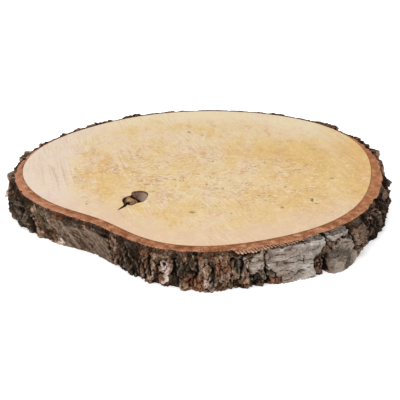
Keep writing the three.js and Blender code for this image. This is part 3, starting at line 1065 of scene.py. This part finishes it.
flake_material, flake_shader, spot = start_material("curled_flake")
fine = speckle(at_scale(spot, 1.6, 1.6, 1.0), 3, 0.7)
paint = mix(fine.ease(0.35, 0.65), rgb(120, 102, 90), rgb(178, 162, 148))
paint = mix(measured(spot, "paleness") * fine.ease(0.25, 0.5), paint, rgb(226, 214, 204))
paint = mix((1 - measured(spot, "along").ease(0.0, 0.25)) * 0.6, paint, rgb(70, 54, 42))
finish_material(flake_shader, paint, 0.75 + 0.2 * fine, 0.08, fine, 0.4)
flake_faces = sheet_faces(FLAKE_ROWS, FLAKE_COLUMNS)
along = np.tile(np.repeat(np.linspace(0, 1, FLAKE_ROWS), FLAKE_COLUMNS), 2)
for number, (at, level, length, width, turn, lift, paleness) in enumerate(FLAKES, 1):
    flake_angle, flake_radius, flake_level = flake_points(at, level, length, width, turn, lift, number)
    outer_layer = ring_points(flake_angle, flake_radius, flake_level).reshape(-1, 3)
    inner_layer = ring_points(flake_angle, flake_radius - FLAKE_THICKNESS, flake_level).reshape(-1, 3)
    flake_values = {"paleness": np.full(len(along), paleness), "along": along}
    both_layers = np.concatenate([outer_layer, inner_layer])
    make_piece(f"flake_{number}", both_layers, flake_faces, flake_values, flake_material)

# %% [markdown]
# ## Inner bark
# Between the wood and the dead bark lies the living bark, a few millimetres of terracotta fibre.
# The saw leaves it almost flat, a little lower than the wood, and tears it along its outer edge. It
# is a ring again, on the same columns as the outer bark, so that both follow one torn seam.

# %% Shape of the inner bark
INNER_TOP_ROWS = 14
INNER_WALL_ROWS = 10
section = [(0.0, height) for height in (0.0, THICKNESS / 2)]
section += [(across, THICKNESS) for across in np.linspace(0, 1, INNER_TOP_ROWS)]
section += [(1.0, height) for height in np.linspace(THICKNESS - 1, 0, INNER_WALL_ROWS)]
across, height, angle = section_grids(section)
inside = wood_radius(angle, height) + HAIRLINE
outside = seam_radius(angle, height)
reach = inside + across * (outside - inside)
place = ring_points(angle, reach, height)
top = (height == THICKNESS) * (across > 0)
ripple = lumps(place, (1.8, 1.8, 9), 42)
tear = smooth(0.6, 1, across) * (height > 32) * lumps(place, (1.5, 1.5, 9), 41)
at_comb = smooth(COMB_STARTS - 1, COMB_STARTS, angle) * smooth(COMB_ENDS, COMB_ENDS - 1, angle)
tear = tear * (1 - 0.8 * at_comb)
inner_points = ring_points(angle, reach, height - top * (0.2 + 0.5 * ripple) - 1.4 * tear)
inner_values = {
    "across": across,
    "fibre": lumps(ring_points(angle, reach * 0.25, height), (1.0, 1.0, 9), 43),
    "rosy": smooth(250, 205, angle) * (angle > 140),
    "bright": smooth(300, 345, angle) + smooth(60, 10, angle),
    "torn": smooth(0.55, 0.9, tear),
}
inner_width = outside - inside
print("inner bark is", inner_width.min().round(1), "to", inner_width.max().round(1), "mm wide")

# %% [markdown]
# ## Inner bark: its colour
# Fresh inner bark is orange-brown and turns rosy where it dries. It is darkest against the wood,
# and its torn outer edge is pale where the fibres stand up, with painted shade in the torn gaps
# where they are gone.

# %% Colours of the inner bark
inner_material, inner_shader, spot = start_material("inner_bark")
fine = speckle(at_scale(spot, 1.6, 1.6, 1.6), 3, 0.7)
mottle = speckle(at_scale(spot, 7, 7, 7), 2, 0.5)
TERRACOTTAS = [
    (0.25, rgb(88, 46, 26)), (0.42, rgb(136, 82, 52)),
    (0.52, rgb(166, 111, 76)), (0.68, rgb(212, 160, 126)),
]
terracotta = 0.55 * fine + 0.25 * mottle + 0.2 * measured(spot, "fibre")
paint = terracotta.node("ShaderNodeValToRGB", {"stops": TERRACOTTAS}, {"Fac": terracotta})
outward = measured(spot, "across")
paint = mix((1 - outward.ease(0.0, 0.2)) * 0.5, paint, rgb(128, 76, 46))
paint = mix(measured(spot, "rosy") * outward.ease(0.2, 0.6) * 0.45, paint, rgb(206, 146, 118))
paint = mix(measured(spot, "bright") * 0.35, paint, rgb(190, 128, 86))
paint = mix(outward.ease(0.6, 1.0) * fine.ease(0.45, 0.6) * 0.7, paint, rgb(212, 168, 140))
# painted shade in the torn gaps of the outer edge, which lie lower
paint = mix(measured(spot, "torn") * 0.8, paint, rgb(70, 34, 20))
finish_material(inner_shader, paint, 0.75 + 0.2 * fine, 0.1, fine, 0.7)
make_piece(
    "inner_bark_ring", inner_points.reshape(-1, 3), ring_faces(*angle.shape), inner_values,
    inner_material, "inner_bark",
)

# %% [markdown]
# ## Torn fibres
# At the front right the saw pulled the fibres of the inner bark outward as it left the cut. They
# lie side by side like the teeth of a comb, pale, with dark gaps, and get shorter towards the right.
# Each is a thin wedge that starts inside the inner bark and leans over the outer bark's top. A loop
# sets them, and all are one piece.

# %% Comb of fibres
FIBRE_FROM, FIBRE_TO, FIBRE_PITCH = 280.4, 301.5, 0.98  # degrees
FIBRE_LEAN = 1.3  # degrees that the free end lies ahead of its root
FIBRE_ROOT = 3.6  # how far inside the ring's edge it starts
FIBRE_DEEP = 2.2  # how far its underside lies below the face
WEDGE_FACES = [(0, 1, 2, 3), (7, 6, 5, 4), (0, 4, 5, 1), (1, 5, 6, 2), (2, 6, 7, 3), (3, 7, 4, 0)]


def fibre_wedge(at, length, half_width, top):
    """Eight corners of a wedge that goes outward from within the inner bark: root, then free end."""
    root = seam_radius(np.array([at]), np.array([THICKNESS]))[0] - FIBRE_ROOT
    corners = []
    for out, narrow, low in ((0.0, 0.7, 0.3), (length, 0.8, 1.0)):
        for aside, below in ((-1, low), (1, low), (1, FIBRE_DEEP), (-1, FIBRE_DEEP)):
            shift = aside * half_width * narrow / MM_PER_DEGREE
            angle = at + FIBRE_LEAN * out / length + shift
            corners.append((*around(root + out, angle), top - below))
    return corners


fibre_corners = []
fibre_faces = []
fibre_spots = np.arange(FIBRE_FROM, FIBRE_TO, FIBRE_PITCH)
chances = np.stack([draw_row(len(fibre_spots), seed) for seed in (91, 92, 93, 94)], axis=-1)
for number, (at, chance) in enumerate(zip(fibre_spots, chances)):
    length = FIBRE_ROOT + (3.6 + 1.2 * chance[0]) * (1 - 0.6 * number / len(fibre_spots))
    half_width = 0.48 + 0.2 * chance[1]
    top = THICKNESS - 0.2 - 0.3 * chance[2]
    fibre_faces += [tuple(k + len(fibre_corners) for k in face) for face in WEDGE_FACES]
    fibre_corners += fibre_wedge(at + 0.12 * chance[3], length, half_width, top)

fibre_material, fibre_shader, spot = start_material("torn_fibre")
fine = speckle(at_scale(spot, 1.5, 1.5, 1.5), 2, 0.6)
paint = mix(fine.ease(0.35, 0.65), rgb(176, 128, 98), rgb(218, 182, 156))
paint = mix(measured(spot, "free_end"), rgb(168, 112, 78), paint)
finish_material(fibre_shader, paint, 0.8 + 0.1 * fine, 0.08, fine, 0.3)
free_end = np.tile([0, 0, 0, 0, 1, 1, 1, 1], len(fibre_spots))
fibre_values = {"free_end": free_end}
make_piece("torn_fibres", np.array(fibre_corners), fibre_faces, fibre_values, fibre_material)

# %% [markdown]
# ## The outline of the knot
# A dead shoot left a knot with a drying crack that runs on from it. Its outline is a closed curve
# through a few points, and the crack is a ribbon that narrows to a point. The same outline cuts the
# socket into the wood and, a little smaller, bounds the knot.

# %% Knot and crack outlines
KNOT_EDGE = np.array([
    (-59.8, -36.8), (-55.4, -35.8), (-50.9, -37.4), (-47.8, -42.4), (-48.4, -50.4), (-51.0, -58.3),
    (-53.9, -60.5), (-57.9, -63.1), (-60.4, -66.4), (-63.2, -67.2), (-65.4, -65.5), (-68.6, -63.9),
    (-70.3, -58.9), (-70.3, -53.5), (-68.6, -49.7), (-65.0, -46.8), (-63.0, -44.9), (-63.0, -40.9),
    (-61.8, -38.2),
])
KNOT_MIDDLE = np.array([-59.5, -51.5])
CRACK_STARTS_AFTER = 10  # the place in KNOT_EDGE of the crack's near corner
CRACK_LINE = [(-68.0, -68.4), (-70.2, -71.6), (-72.2, -74.4), (-73.6, -77.2)]
CRACK_WIDTHS = [3.4, 2.6, 1.7, 0.0]
KNOT_STEPS = 8


def curve_through(points, steps):
    """A smooth closed curve through the points, with that many steps from each point to the next."""
    before, after, later = (np.roll(points, -k, axis=0) for k in (-1, 1, 2))
    share = np.linspace(0, 1, steps, endpoint=False)[None, :, None]
    p0, p1, p2, p3 = (p[:, None, :] for p in (before, points, after, later))
    bend = 2 * p1 + (p2 - p0) * share + (2 * p0 - 5 * p1 + 4 * p2 - p3) * share**2
    return (0.5 * (bend + (3 * p1 - p0 - 3 * p2 + p3) * share**3)).reshape(-1, 2)


knot_curve = curve_through(KNOT_EDGE, KNOT_STEPS)
crack_line = np.array(CRACK_LINE)
forward = np.gradient(crack_line, axis=0)
sideways = np.stack([-forward[:, 1], forward[:, 0]], axis=-1) / np.linalg.norm(forward, axis=-1)[:, None]
half_widths = np.array(CRACK_WIDTHS)[:, None] / 2
way_out = crack_line + sideways * half_widths
way_back = (crack_line - sideways * half_widths)[-2::-1]
cut = CRACK_STARTS_AFTER * KNOT_STEPS
socket = np.concatenate([knot_curve[: cut + 1], way_out, way_back, knot_curve[cut + KNOT_STEPS :]])
print("socket outline", len(socket), "points")

# %% [markdown]
# ## The wood
# The face is a flat disc with a hole for the knot. Rings of quads can't go round an odd-shaped
# hole, so a triangulation does it: the outline, the hole and a loose scatter of points go in, and
# triangles come out. Those inside the hole become the socket's floor, and all of them, brought in
# a little where the trunk leans, become the underside.

# %% Points of the face
RIM_POINTS = 720
FACE_STEP = 3.0
FACE_SPAN = 180  # the points are sought this far from the middle, each way
SOCKET_FLOOR = 11.5
SOCKET_CLEARANCE = 1.6  # no loose point lies nearer to the socket's outline


def polar(points):
    """Direction and distance from the pith."""
    away = points - PITH
    return np.degrees(np.arctan2(away[:, 1], away[:, 0])) % 360, np.linalg.norm(away, axis=1)


rim_angle = np.arange(RIM_POINTS) * 360 / RIM_POINTS
rim = around(wood_radius(rim_angle, THICKNESS), rim_angle)
lane = np.arange(-FACE_SPAN, FACE_SPAN, FACE_STEP)
scatter = np.stack(np.meshgrid(lane, lane, indexing="ij"), axis=-1).reshape(-1, 2)
shift = np.stack([draw_row(len(scatter), seed) for seed in (51, 52)], axis=-1)
scatter = scatter + FACE_STEP * 0.7 * shift
direction, distance = polar(scatter)
scatter = scatter[distance < wood_radius(direction, THICKNESS) - FACE_STEP * 0.7]
to_socket = np.linalg.norm(scatter[:, None, :] - socket[None, ::4, :], axis=-1).min(axis=1)
scatter = scatter[to_socket > SOCKET_CLEARANCE]
plan = np.concatenate([rim, socket, scatter])
print("face", len(plan), "points")

# %% [markdown]
# ## The wood: its triangles
# The triangulation also fills hollows of the outline, so triangles beyond the rim are dropped. The
# same plan then serves three times: as the face, as the underside, and, inside the socket, as its
# floor. Walls join them, and points that no face uses are dropped at the end.

# %% Triangles of the face, the socket and the underside
def loop_edges(first, count):
    """The edges of a closed loop of points that follow each other from the first one."""
    return [(first + k, first + (k + 1) % count) for k in range(count)]


rim_loop = loop_edges(0, RIM_POINTS)
socket_loop = loop_edges(RIM_POINTS, len(socket))
cut_out = delaunay_2d_cdt([Vector(point) for point in plan], rim_loop + socket_loop, [], 0, 1e-5)
plan = np.array([tuple(point) for point in cut_out[0]])
triangles = np.array(cut_out[2])
direction, distance = polar(plan[triangles].mean(axis=1))
triangles = triangles[distance < wood_radius(direction, THICKNESS) * 0.99999]
in_socket = is_inside(plan[triangles].mean(axis=1), socket)

count = len(plan)
direction, distance = polar(plan)
top_reach = wood_radius(direction, THICKNESS)
foot = around(distance * wood_radius(direction, 0) / top_reach, direction)
top_points = np.column_stack([plan, np.full(count, THICKNESS)])
foot_points = np.column_stack([foot, np.zeros(count)])
floor_points = np.column_stack([plan, np.full(count, SOCKET_FLOOR)])
wood_points = np.concatenate([top_points, foot_points, floor_points])

wood_faces = triangles[~in_socket].tolist()
wood_faces += (triangles[in_socket] + 2 * count).tolist()
wood_faces += (triangles[:, ::-1] + count).tolist()
wood_faces += [(a, a + count, b + count, b) for a, b in rim_loop]
wood_faces += [(a, b, b + 2 * count, a + 2 * count) for a, b in socket_loop]
used = np.unique(np.concatenate([np.ravel(face) for face in wood_faces]))
renumber = np.full(len(wood_points), -1)
renumber[used] = np.arange(len(used))
wood_points = wood_points[used]
wood_faces = [[int(renumber[k]) for k in face] for face in wood_faces]
growth = np.tile(distance / top_reach, 3)[used]
print("wood", len(wood_faces), "faces")

# %% [markdown]
# ## Stains in the wood
# Outside lies the whitish sapwood, pinkest on the left and at the front. The heart is yellower and
# turns to ochre on the right, with a few orange stains and pale patches between them. Such large
# soft changes are measured at the points of the face, and what is smaller than its triangles is
# left to the material.

# %% Where the stains lie
ORANGE = [  # x, y, reach along x, reach along y, strength
    (-94, 32, 13, 17, 0.9), (-100, -2, 9, 14, 0.4), (-12, 22, 16, 14, 0.55), (45, 50, 24, 13, 0.7),
    (80, 40, 22, 15, 0.9), (52, -42, 24, 9, 0.5), (-49, -15, 9, 9, 0.8), (150, 8, 13, 60, 0.7),
    (-26, -84, 12, 6, 0.5), (128, 52, 22, 22, 0.4), (-100, -66, 26, 12, 0.4),
    (-92, 14, 16, 16, 0.5), (-14, 42, 14, 12, 0.5),
]
YELLOW = [
    (-92, -6, 26, 34, 0.6), (-44, -77, 20, 10, 0.9), (98, 42, 34, 20, 0.8), (90, -50, 45, 16, 0.8),
    (122, 0, 30, 44, 0.8), (22, -76, 52, 14, 0.5), (-62, 40, 24, 22, 0.4), (20, 84, 60, 12, 0.4),
]
PALE_PATCHES = [
    (-22, 78, 48, 20, 0.9), (42, 4, 18, 26, 0.9), (0, -24, 36, 14, 0.5), (-96, 84, 44, 30, 1.0),
    (62, 96, 74, 16, 0.6), (-24, -48, 22, 8, 0.7), (-84, -70, 30, 12, 0.5),
]
SAWN_LINES = [
    (-133, -2, 16, 34, 1.0), (-74, 26, 10, 34, 0.7), (118, 66, 26, 34, 0.35), (60, 96, 30, 22, 0.3),
]
BUSY = [(0, 0, 90, 62, 1.0), (-95, 5, 34, 50, 0.8), (95, -20, 60, 60, 0.7)]
LEFT_LOBE = np.array([  # outline of the darker heart on the left
    (-118, 15), (-115, 34), (-98.6, 54), (-87, 46), (-73, 20), (-64, -2), (-71, -34), (-80, -56),
    (-96, -40), (-108, -23), (-117, -7),
])
print(len(ORANGE + YELLOW + PALE_PATCHES), "stains")

# %% [markdown]
# ## Stains: how strong each is at each point
# A stain is a soft oval, and wisps and clouds of noise break it up, so that no oval shows. The heart
# ends where the growth of the last years starts, at an uneven line. The underside takes the same
# stains, because a stain runs through the whole slice.

# %% Stains at the points
def soft_spots(spots, x, y):
    """The sum of soft ovals at those places."""
    total = 0
    for at_x, at_y, reach_x, reach_y, most in spots:
        total = total + most * np.exp(-(((x - at_x) / reach_x) ** 2) - ((y - at_y) / reach_y) ** 2)
    return total


x, y = wood_points[:, 0], wood_points[:, 1]
flat = wood_points * np.array([1, 1, 0.2])
clouds = lumps(flat, (26, 16, 20), 61)
wisps = 0.6 * lumps(flat, (12, 6, 20), 62) + 0.4 * lumps(flat, (5, 4, 20), 63)
heart = 1 - smooth(0.70, 0.95, growth + 0.14 * (clouds - 0.5) + 0.08 * (wisps - 0.5))
heart = np.maximum(heart, smooth(104, 140, x) * smooth(-78, -40, y))
heart = heart * smooth(-128, -106, x + 16 * (wisps - 0.5))
wood_plan = wood_points[:, :2] + 9 * (np.stack([wisps, lumps(flat, (7, 7, 20), 64)], axis=-1) - 0.5)
lobe_edge = distance_to_line(wood_plan, [*LEFT_LOBE, LEFT_LOBE[0]])
in_lobe = smooth(-3, 5, np.where(is_inside(wood_plan, LEFT_LOBE), lobe_edge, -lobe_edge))
wood_values = {
    "growth": growth,
    "heart": heart,
    "under": (wood_points[:, 2] == SOCKET_FLOOR) * 1.0,
    "lilac": smooth(-70, -140, x),
    "pinkness": smooth(0.62, 0.86, growth) * (smooth(-20, -72, y) + 0.4 * smooth(100, 150, x)),
    "lobe": in_lobe,
    "ochre": smooth(-10, 120, x + 30 * (clouds - 0.5)) * smooth(-140, -96, y) * smooth(118, 70, y),
    "orange": np.clip(soft_spots(ORANGE, x, y) * (0.1 + 1.6 * wisps), 0, 1),
    "yellow": np.clip(soft_spots(YELLOW, x, y) * (0.2 + 1.4 * wisps), 0, 1),
    "pale_patch": np.clip(soft_spots(PALE_PATCHES, x, y) * (0.3 + 1.3 * clouds), 0, 1),
    "sawn_lines": np.clip(soft_spots(SAWN_LINES, x, y), 0, 1),
    "busy": np.clip(soft_spots(BUSY, x, y), 0, 1),
}
print("heart covers", round(float((heart > 0.5).mean()), 2), "of the points")

# %% [markdown]
# ## Material of the wood
# The colour goes from sapwood to heart, then takes the stains. Over that lie the fine patterns:
# growth rings, which follow the outline, dashes where vessels and fibres are cut, wisps of yellow
# and pink, and scratches of the saw. Each is faint alone, and together they keep the face from
# looking like plastic.

# %% Colours of the wood
wood_material, wood_shader, spot = start_material("sawn_wood")
grown = measured(spot, "growth")
in_heart = measured(spot, "heart")
busy = measured(spot, "busy")
sapwood = mix(measured(spot, "pinkness"), rgb(229, 211, 175), rgb(221, 190, 157))
sapwood = mix(measured(spot, "lilac") * 0.9, sapwood, rgb(223, 204, 188))
heartwood = mix(measured(spot, "ochre"), rgb(222, 195, 150), rgb(221, 186, 126))
colour = mix(in_heart, sapwood, heartwood)
colour = mix(measured(spot, "lobe") * 0.7, colour, rgb(219, 184, 130))
colour = mix(measured(spot, "yellow") * 0.6, colour, rgb(220, 184, 116))
colour = mix(measured(spot, "orange") * 0.7, colour, rgb(212, 164, 104))
colour = mix(measured(spot, "pale_patch") * 0.6, colour, rgb(224, 202, 168))
wisp = speckle(at_scale(spot, 22, 36, 40), 4, 0.65, 0.8)
tint = speckle(at_scale(spot, 8, 15, 24), 4, 0.7, 0.6)
pinkish = wisp.ease(0.52, 0.6) * (0.1 + 0.5 * in_heart) * (1 - measured(spot, "ochre") * 0.8)
colour = mix(pinkish, colour, rgb(224, 197, 170))
colour = mix((1 - wisp.ease(0.4, 0.47)) * in_heart * 0.5, colour, rgb(221, 186, 116))
colour = mix(tint.ease(0.55, 0.63) * in_heart * 0.6, colour, rgb(210, 164, 108))
colour = mix((1 - tint.ease(0.37, 0.44)) * in_heart * 0.4, colour, rgb(230, 212, 178))
colour = mix(tint.ease(0.52, 0.62) * (1 - in_heart) * 0.4, colour, rgb(220, 190, 172))
colour = mix((1 - tint.ease(0.4, 0.48)) * (1 - in_heart) * 0.35, colour, rgb(230, 208, 166))
print("stains take", len(wood_material.node_tree.nodes), "nodes")

# %% [markdown]
# ## The wood: rings and dashes
# Cut vessels and fibres show as dark and light dashes a few millimetres long. They stand in
# clusters, because evenly scattered ones would look like printed dots. The growth rings hardly
# show, as in the picture, and only in places.

# %% Fine patterns of the wood
RING_COUNT = 46
ring_place = grown.node("ShaderNodeCombineXYZ", {}, {"X": grown * RING_COUNT, "Y": 0.0, "Z": 0.0})
rings = speckle(ring_place, 3, 0.65)
dashes = speckle(at_scale(spot, 5.5, 3.0, 9), 3, 0.62, 1.6)
clusters = speckle(at_scale(spot, 22, 30, 30), 1, 0.5).ease(0.44, 0.56)
flecks = speckle(at_scale(spot, 1.7, 3.2, 6), 3, 0.8)
where_rings = speckle(at_scale(spot, 30, 20, 30), 1, 0.5).ease(0.4, 0.6)
shade = 1.0 + 0.3 * (rings - 0.5) * grown * where_rings + 0.5 * (flecks - 0.5) * (0.2 + 0.8 * in_heart)
# blue changes more than red and green, so that darker places are browner too
grey = shade.node("ShaderNodeCombineXYZ", {}, {"X": shade, "Y": shade, "Z": shade * 1.4 - 0.4})
colour = mix(1.0, colour, grey, "MULTIPLY")
dark_dashes = (1 - dashes.ease(0.38, 0.46)) * (clusters * 0.8 + 0.2)
colour = mix(dark_dashes * (busy * 0.8 + 0.1) * 0.9, colour, rgb(160, 118, 78))
colour = mix(dashes.ease(0.56, 0.66) * busy * 0.7, colour, rgb(240, 222, 190))
print("patterns bring them to", len(wood_material.node_tree.nodes), "nodes")

# %% [markdown]
# ## The wood: scratches of the saw
# The saw ran from the front to the back, a little aslant and turning, and left long thin lines.
# Noise that is stretched along that way gives them: fine ones here and there, and longer ones where
# the list of sawn lines says so.

# %% Scratches of the saw
x_place, y_place = (spot.node("ShaderNodeSeparateXYZ", {}, {"Vector": spot}, output=k) for k in "XY")
across_saw = x_place + y_place * (0.2 + 0.0016 * (x_place + 130))


def saw_lines(width, length, level, rough, warp):
    """Streaks of that width and length in mm along the way of the saw."""
    along_saw = {"X": across_saw / width, "Y": y_place / length, "Z": level}
    return speckle(across_saw.node("ShaderNodeCombineXYZ", {}, along_saw), 2, rough, warp)


scratches = saw_lines(1.3, 24, 0.0, 0.6, 0.2)
long_lines = saw_lines(3.2, 70, 0.5, 0.5, 0.3)
where_scratched = speckle(at_scale(spot, 40, 50, 45), 1, 0.5).ease(0.5, 0.62)
where_long = measured(spot, "sawn_lines")
lit_lines = scratches.ease(0.56, 0.68) * where_scratched * 0.4
lit_lines = lit_lines + long_lines.ease(0.54, 0.64) * where_long * 0.3
dark_lines = (1 - scratches.ease(0.36, 0.46)) * where_scratched * 0.3
dark_lines = dark_lines + (1 - long_lines.ease(0.4, 0.46)) * where_long * 0.4
colour = mix(lit_lines, colour, rgb(242, 226, 196))
colour = mix(dark_lines, colour, rgb(190, 152, 108))
print("scratches bring them to", len(wood_material.node_tree.nodes), "nodes")

# %% [markdown]
# ## The wood: specks
# A few small dark specks, chips and the buds of shoots that never grew, lie on the face. Each is an
# oval of a few millimetres whose edge is frayed by the flecks. It runs down through the slice, so
# it shows on the underside too. The floor of the knot's socket gets painted shade at the end.

# %% Specks
SPECKS = [  # x, y, reach across, reach along y, darkness
    (-12.4, 102, 2.4, 2.6, 0.7), (0.6, 94, 2.0, 4.0, 0.35), (4.6, -22, 1.5, 1.8, 0.9),
    (-8.4, -81, 3.8, 2.4, 0.7), (119.6, -9, 3.2, 3.0, 0.55), (98, -56, 1.8, 5.5, 0.9),
    (101.5, -63, 3.6, 2.0, 0.6), (70.6, -71, 2.2, 3.2, 0.6), (-101.4, -64, 1.4, 2.2, 0.6),
    (75.6, -28, 1.7, 2.2, 0.6), (60.6, -25, 1.4, 1.8, 0.5), (25.6, -14, 1.3, 1.8, 0.5),
    (-23.4, -26, 1.6, 1.8, 0.5), (25.6, -83, 1.4, 1.8, 0.5), (19, -32, 2.4, 1.8, 0.6),
    (-61, 44, 1.3, 1.8, 0.5),
]
SPECK_DEPTH = 100  # far more than the slice is thick, so a speck hardly fades on its way down
for at_x, at_y, reach_x, reach_y, darkness in SPECKS:
    centre = (at_x / reach_x, at_y / reach_y, THICKNESS / SPECK_DEPTH)
    scaled = at_scale(spot, reach_x, reach_y, SPECK_DEPTH)
    away = spot.node("ShaderNodeVectorMath", {"operation": "DISTANCE"}, [(0, scaled), (1, centre)])
    near = 1 - (away + 0.8 * (flecks - 0.5)).ease(0.2, 1.1)
    colour = mix(near * darkness, colour, rgb(104, 80, 56))
# painted shade on the socket's floor, down in the gap round the knot
colour = mix(measured(spot, "under").ease(0.002, 0.04), colour, rgb(98, 68, 46))
relief = 0.6 * flecks + 0.3 * dashes + 0.3 * scratches
finish_material(wood_shader, colour, 0.55 + 0.2 * flecks, 0.25, relief, 0.15)
make_piece("sawn_wood", wood_points, wood_faces, wood_values, wood_material, "wood")

# %% [markdown]
# ## The knot
# The knot is a body of its own: a smooth grey-purple oval, the old bark of the shoot, beside a
# brown swirl of its wood, with a crack between them that is black with painted shade. A fine disc
# of rings about its middle carries that, and the cracks are grooves along short lines. Under the
# face its side goes straight down into the socket.

# %% Lines of the knot
KNOT_RINGS = 44
KNOT_GAP = 0.3
KNOT_REACH = 12  # about how far its edge is from its middle
KNOT_FOOT = SOCKET_FLOOR + 0.3
KNOT_TOP = 33.5
LEFT_BAND = [(-68.8, -50.5), (-69.3, -55.0), (-68.8, -60.0), (-67.2, -63.6)]
SWIRL_LINE = [(-64.2, -53.5), (-63.4, -59.5)]
TAN_SPOT = (-64.6, -55.0)
TAN_REACH = 4.0
CRACKS = [  # points of a line in mm, then its half-width and depth
    ([(-60.6, -48.6), (-58.6, -50.8), (-56.4, -54.4), (-54.6, -58.0), (-51.7, -57.6)], 1.25, 3.8),
    ([(-62.6, -45.4), (-61.6, -47.4), (-60.2, -48.9)], 1.5, 3.2),
    ([(-56.6, -43.4), (-57.4, -45.6), (-58.6, -48.2)], 0.55, 1.3),
    ([(-65.0, -58.0), (-65.8, -62.0), (-67.0, -65.0)], 1.6, 3.6),
    ([(-62.0, -55.5), (-60.6, -59.0)], 0.7, 0.8),
    (LEFT_BAND, 1.2, 1.2),
]
GREY_OVAL = np.array([
    (-59.4, -37.4), (-55.4, -36.0), (-50.9, -37.4), (-47.4, -42.4), (-48.0, -50.4), (-50.4, -58.0),
    (-54.2, -58.0), (-56.6, -54.0), (-58.4, -49.6), (-59.4, -45.4), (-60.0, -41.0),
])
print("knot with", len(CRACKS), "cracks")

# %% [markdown]
# ## The knot: its surface
# The disc is a little smaller than the socket, which leaves a gap round it, dark with painted shade
# on the knot's side and the socket's floor. Its height is a low dome, less the cracks, with waves
# that follow the swirl of the brown part.

# %% Surface of the knot
edge = KNOT_MIDDLE + (knot_curve - KNOT_MIDDLE) * (1 - KNOT_GAP / KNOT_REACH)
columns = len(edge)
shares = np.linspace(1, 0.02, KNOT_RINGS)
disc = (KNOT_MIDDLE + shares[:, None, None] * (edge - KNOT_MIDDLE)).reshape(-1, 2)
place = np.column_stack([disc, np.zeros(len(disc))])
wobble = 0.8 * (lumps(place, (1.5, 1.5, 1), 71) - 0.5)
groove = np.zeros(len(disc))
for line, half_width, deep in CRACKS:
    off = (distance_to_line(disc, line) + wobble) / half_width
    groove = np.maximum(groove, deep * np.exp(-(off**2)))
oval_edge = distance_to_line(disc, [*GREY_OVAL, GREY_OVAL[0]])
grey_part = is_inside(disc, GREY_OVAL) * 1.0
swirl = np.sin(2.1 * distance_to_line(disc, SWIRL_LINE) + 3 * lumps(place, (4, 4, 1), 72))
dome = 0.4 * (1 - np.repeat(shares, columns) ** 4)
knot_height = KNOT_TOP - 0.5 + dome - groove + 0.25 * swirl * (1 - grey_part)
knot_height = knot_height + 0.3 * (lumps(place, (1.2, 1.2, 1), 73) - 0.5) - 0.3 * np.exp(-(oval_edge**2))

wall_levels = (KNOT_FOOT, KNOT_TOP / 2 + KNOT_FOOT / 2)
wall = [np.column_stack([edge, np.full(columns, level)]) for level in wall_levels]
knot_points = np.concatenate([*wall, np.column_stack([disc, knot_height])])
# a knot is no closed ring, so the faces from its middle back to its foot are left out
knot_faces = ring_faces(KNOT_RINGS + 2, columns)
knot_faces = [face for face in knot_faces if max(face) - min(face) < 2 * columns]
last = len(knot_points) - columns
knot_faces.append(list(range(last, last + columns)))
knot_faces.append(list(range(columns))[::-1])
print("knot", len(knot_faces), "faces")

# %% [markdown]
# ## The knot: its colours
# The brown part goes from dark to tan along its swirl, with a dark band at its left edge. The oval
# is grey-purple and lighter on the right. Cracks get black painted shade by their depth, whatever
# part they cross, and so does the knot's side.

# %% Colours of the knot
def on_top(values, below):
    """Values of the knot's top, with one value for the points of its side."""
    return np.concatenate([np.full(2 * columns, below), values])


knot_values = {
    # painted shade by depth in the cracks; the side, down in the gap, gets painted shade too
    "groove": on_top(np.clip(groove / 2.2, 0, 1), 0.6),
    "grey_part": on_top(grey_part, 0.0),
    "oval_edge": on_top(np.exp(-((oval_edge / 0.7) ** 2)), 0.0),
    "swirl": on_top(0.5 + 0.5 * swirl, 0.5),
    "right": on_top(smooth(-57, -50, disc[:, 0]), 0.0),
    "tan": on_top(np.exp(-(((disc - TAN_SPOT) ** 2).sum(axis=1)) / TAN_REACH**2), 0.0),
    "rim_band": on_top(1 - smooth(1.2, 3.4, distance_to_line(disc, LEFT_BAND)), 0.0),
}
knot_material, knot_shader, spot = start_material("knot_wood")
fine = speckle(at_scale(spot, 1.4, 1.4, 1.4), 3, 0.6)
tan = mix(measured(spot, "swirl"), rgb(84, 50, 32), rgb(164, 122, 88))
tan = mix(measured(spot, "tan") * 0.9, tan, rgb(220, 178, 132))
tan = mix(measured(spot, "rim_band") * 0.9, tan, rgb(70, 38, 24))
grey = mix(measured(spot, "right"), rgb(114, 86, 72), rgb(160, 132, 120))
colour = mix(measured(spot, "grey_part"), mix(0.25, tan, rgb(92, 70, 44)), grey)
colour = mix(fine.ease(0.3, 0.7) * 0.25, colour, rgb(84, 56, 40))
colour = mix(measured(spot, "oval_edge") * 0.45, colour, rgb(58, 36, 24))
# painted shade, black, in the cracks and on the knot's side
colour = mix(measured(spot, "groove").ease(0.12, 0.75), colour, rgb(24, 12, 6))
finish_material(knot_shader, colour, 0.6 + 0.2 * fine, 0.15, fine, 0.3)
make_piece("shoot_knot", knot_points, knot_faces, knot_values, knot_material, "knot")

# %% [markdown]
# ## Sizes
# The solid model's box is printed at the start; the dressed one is not measured in this script.
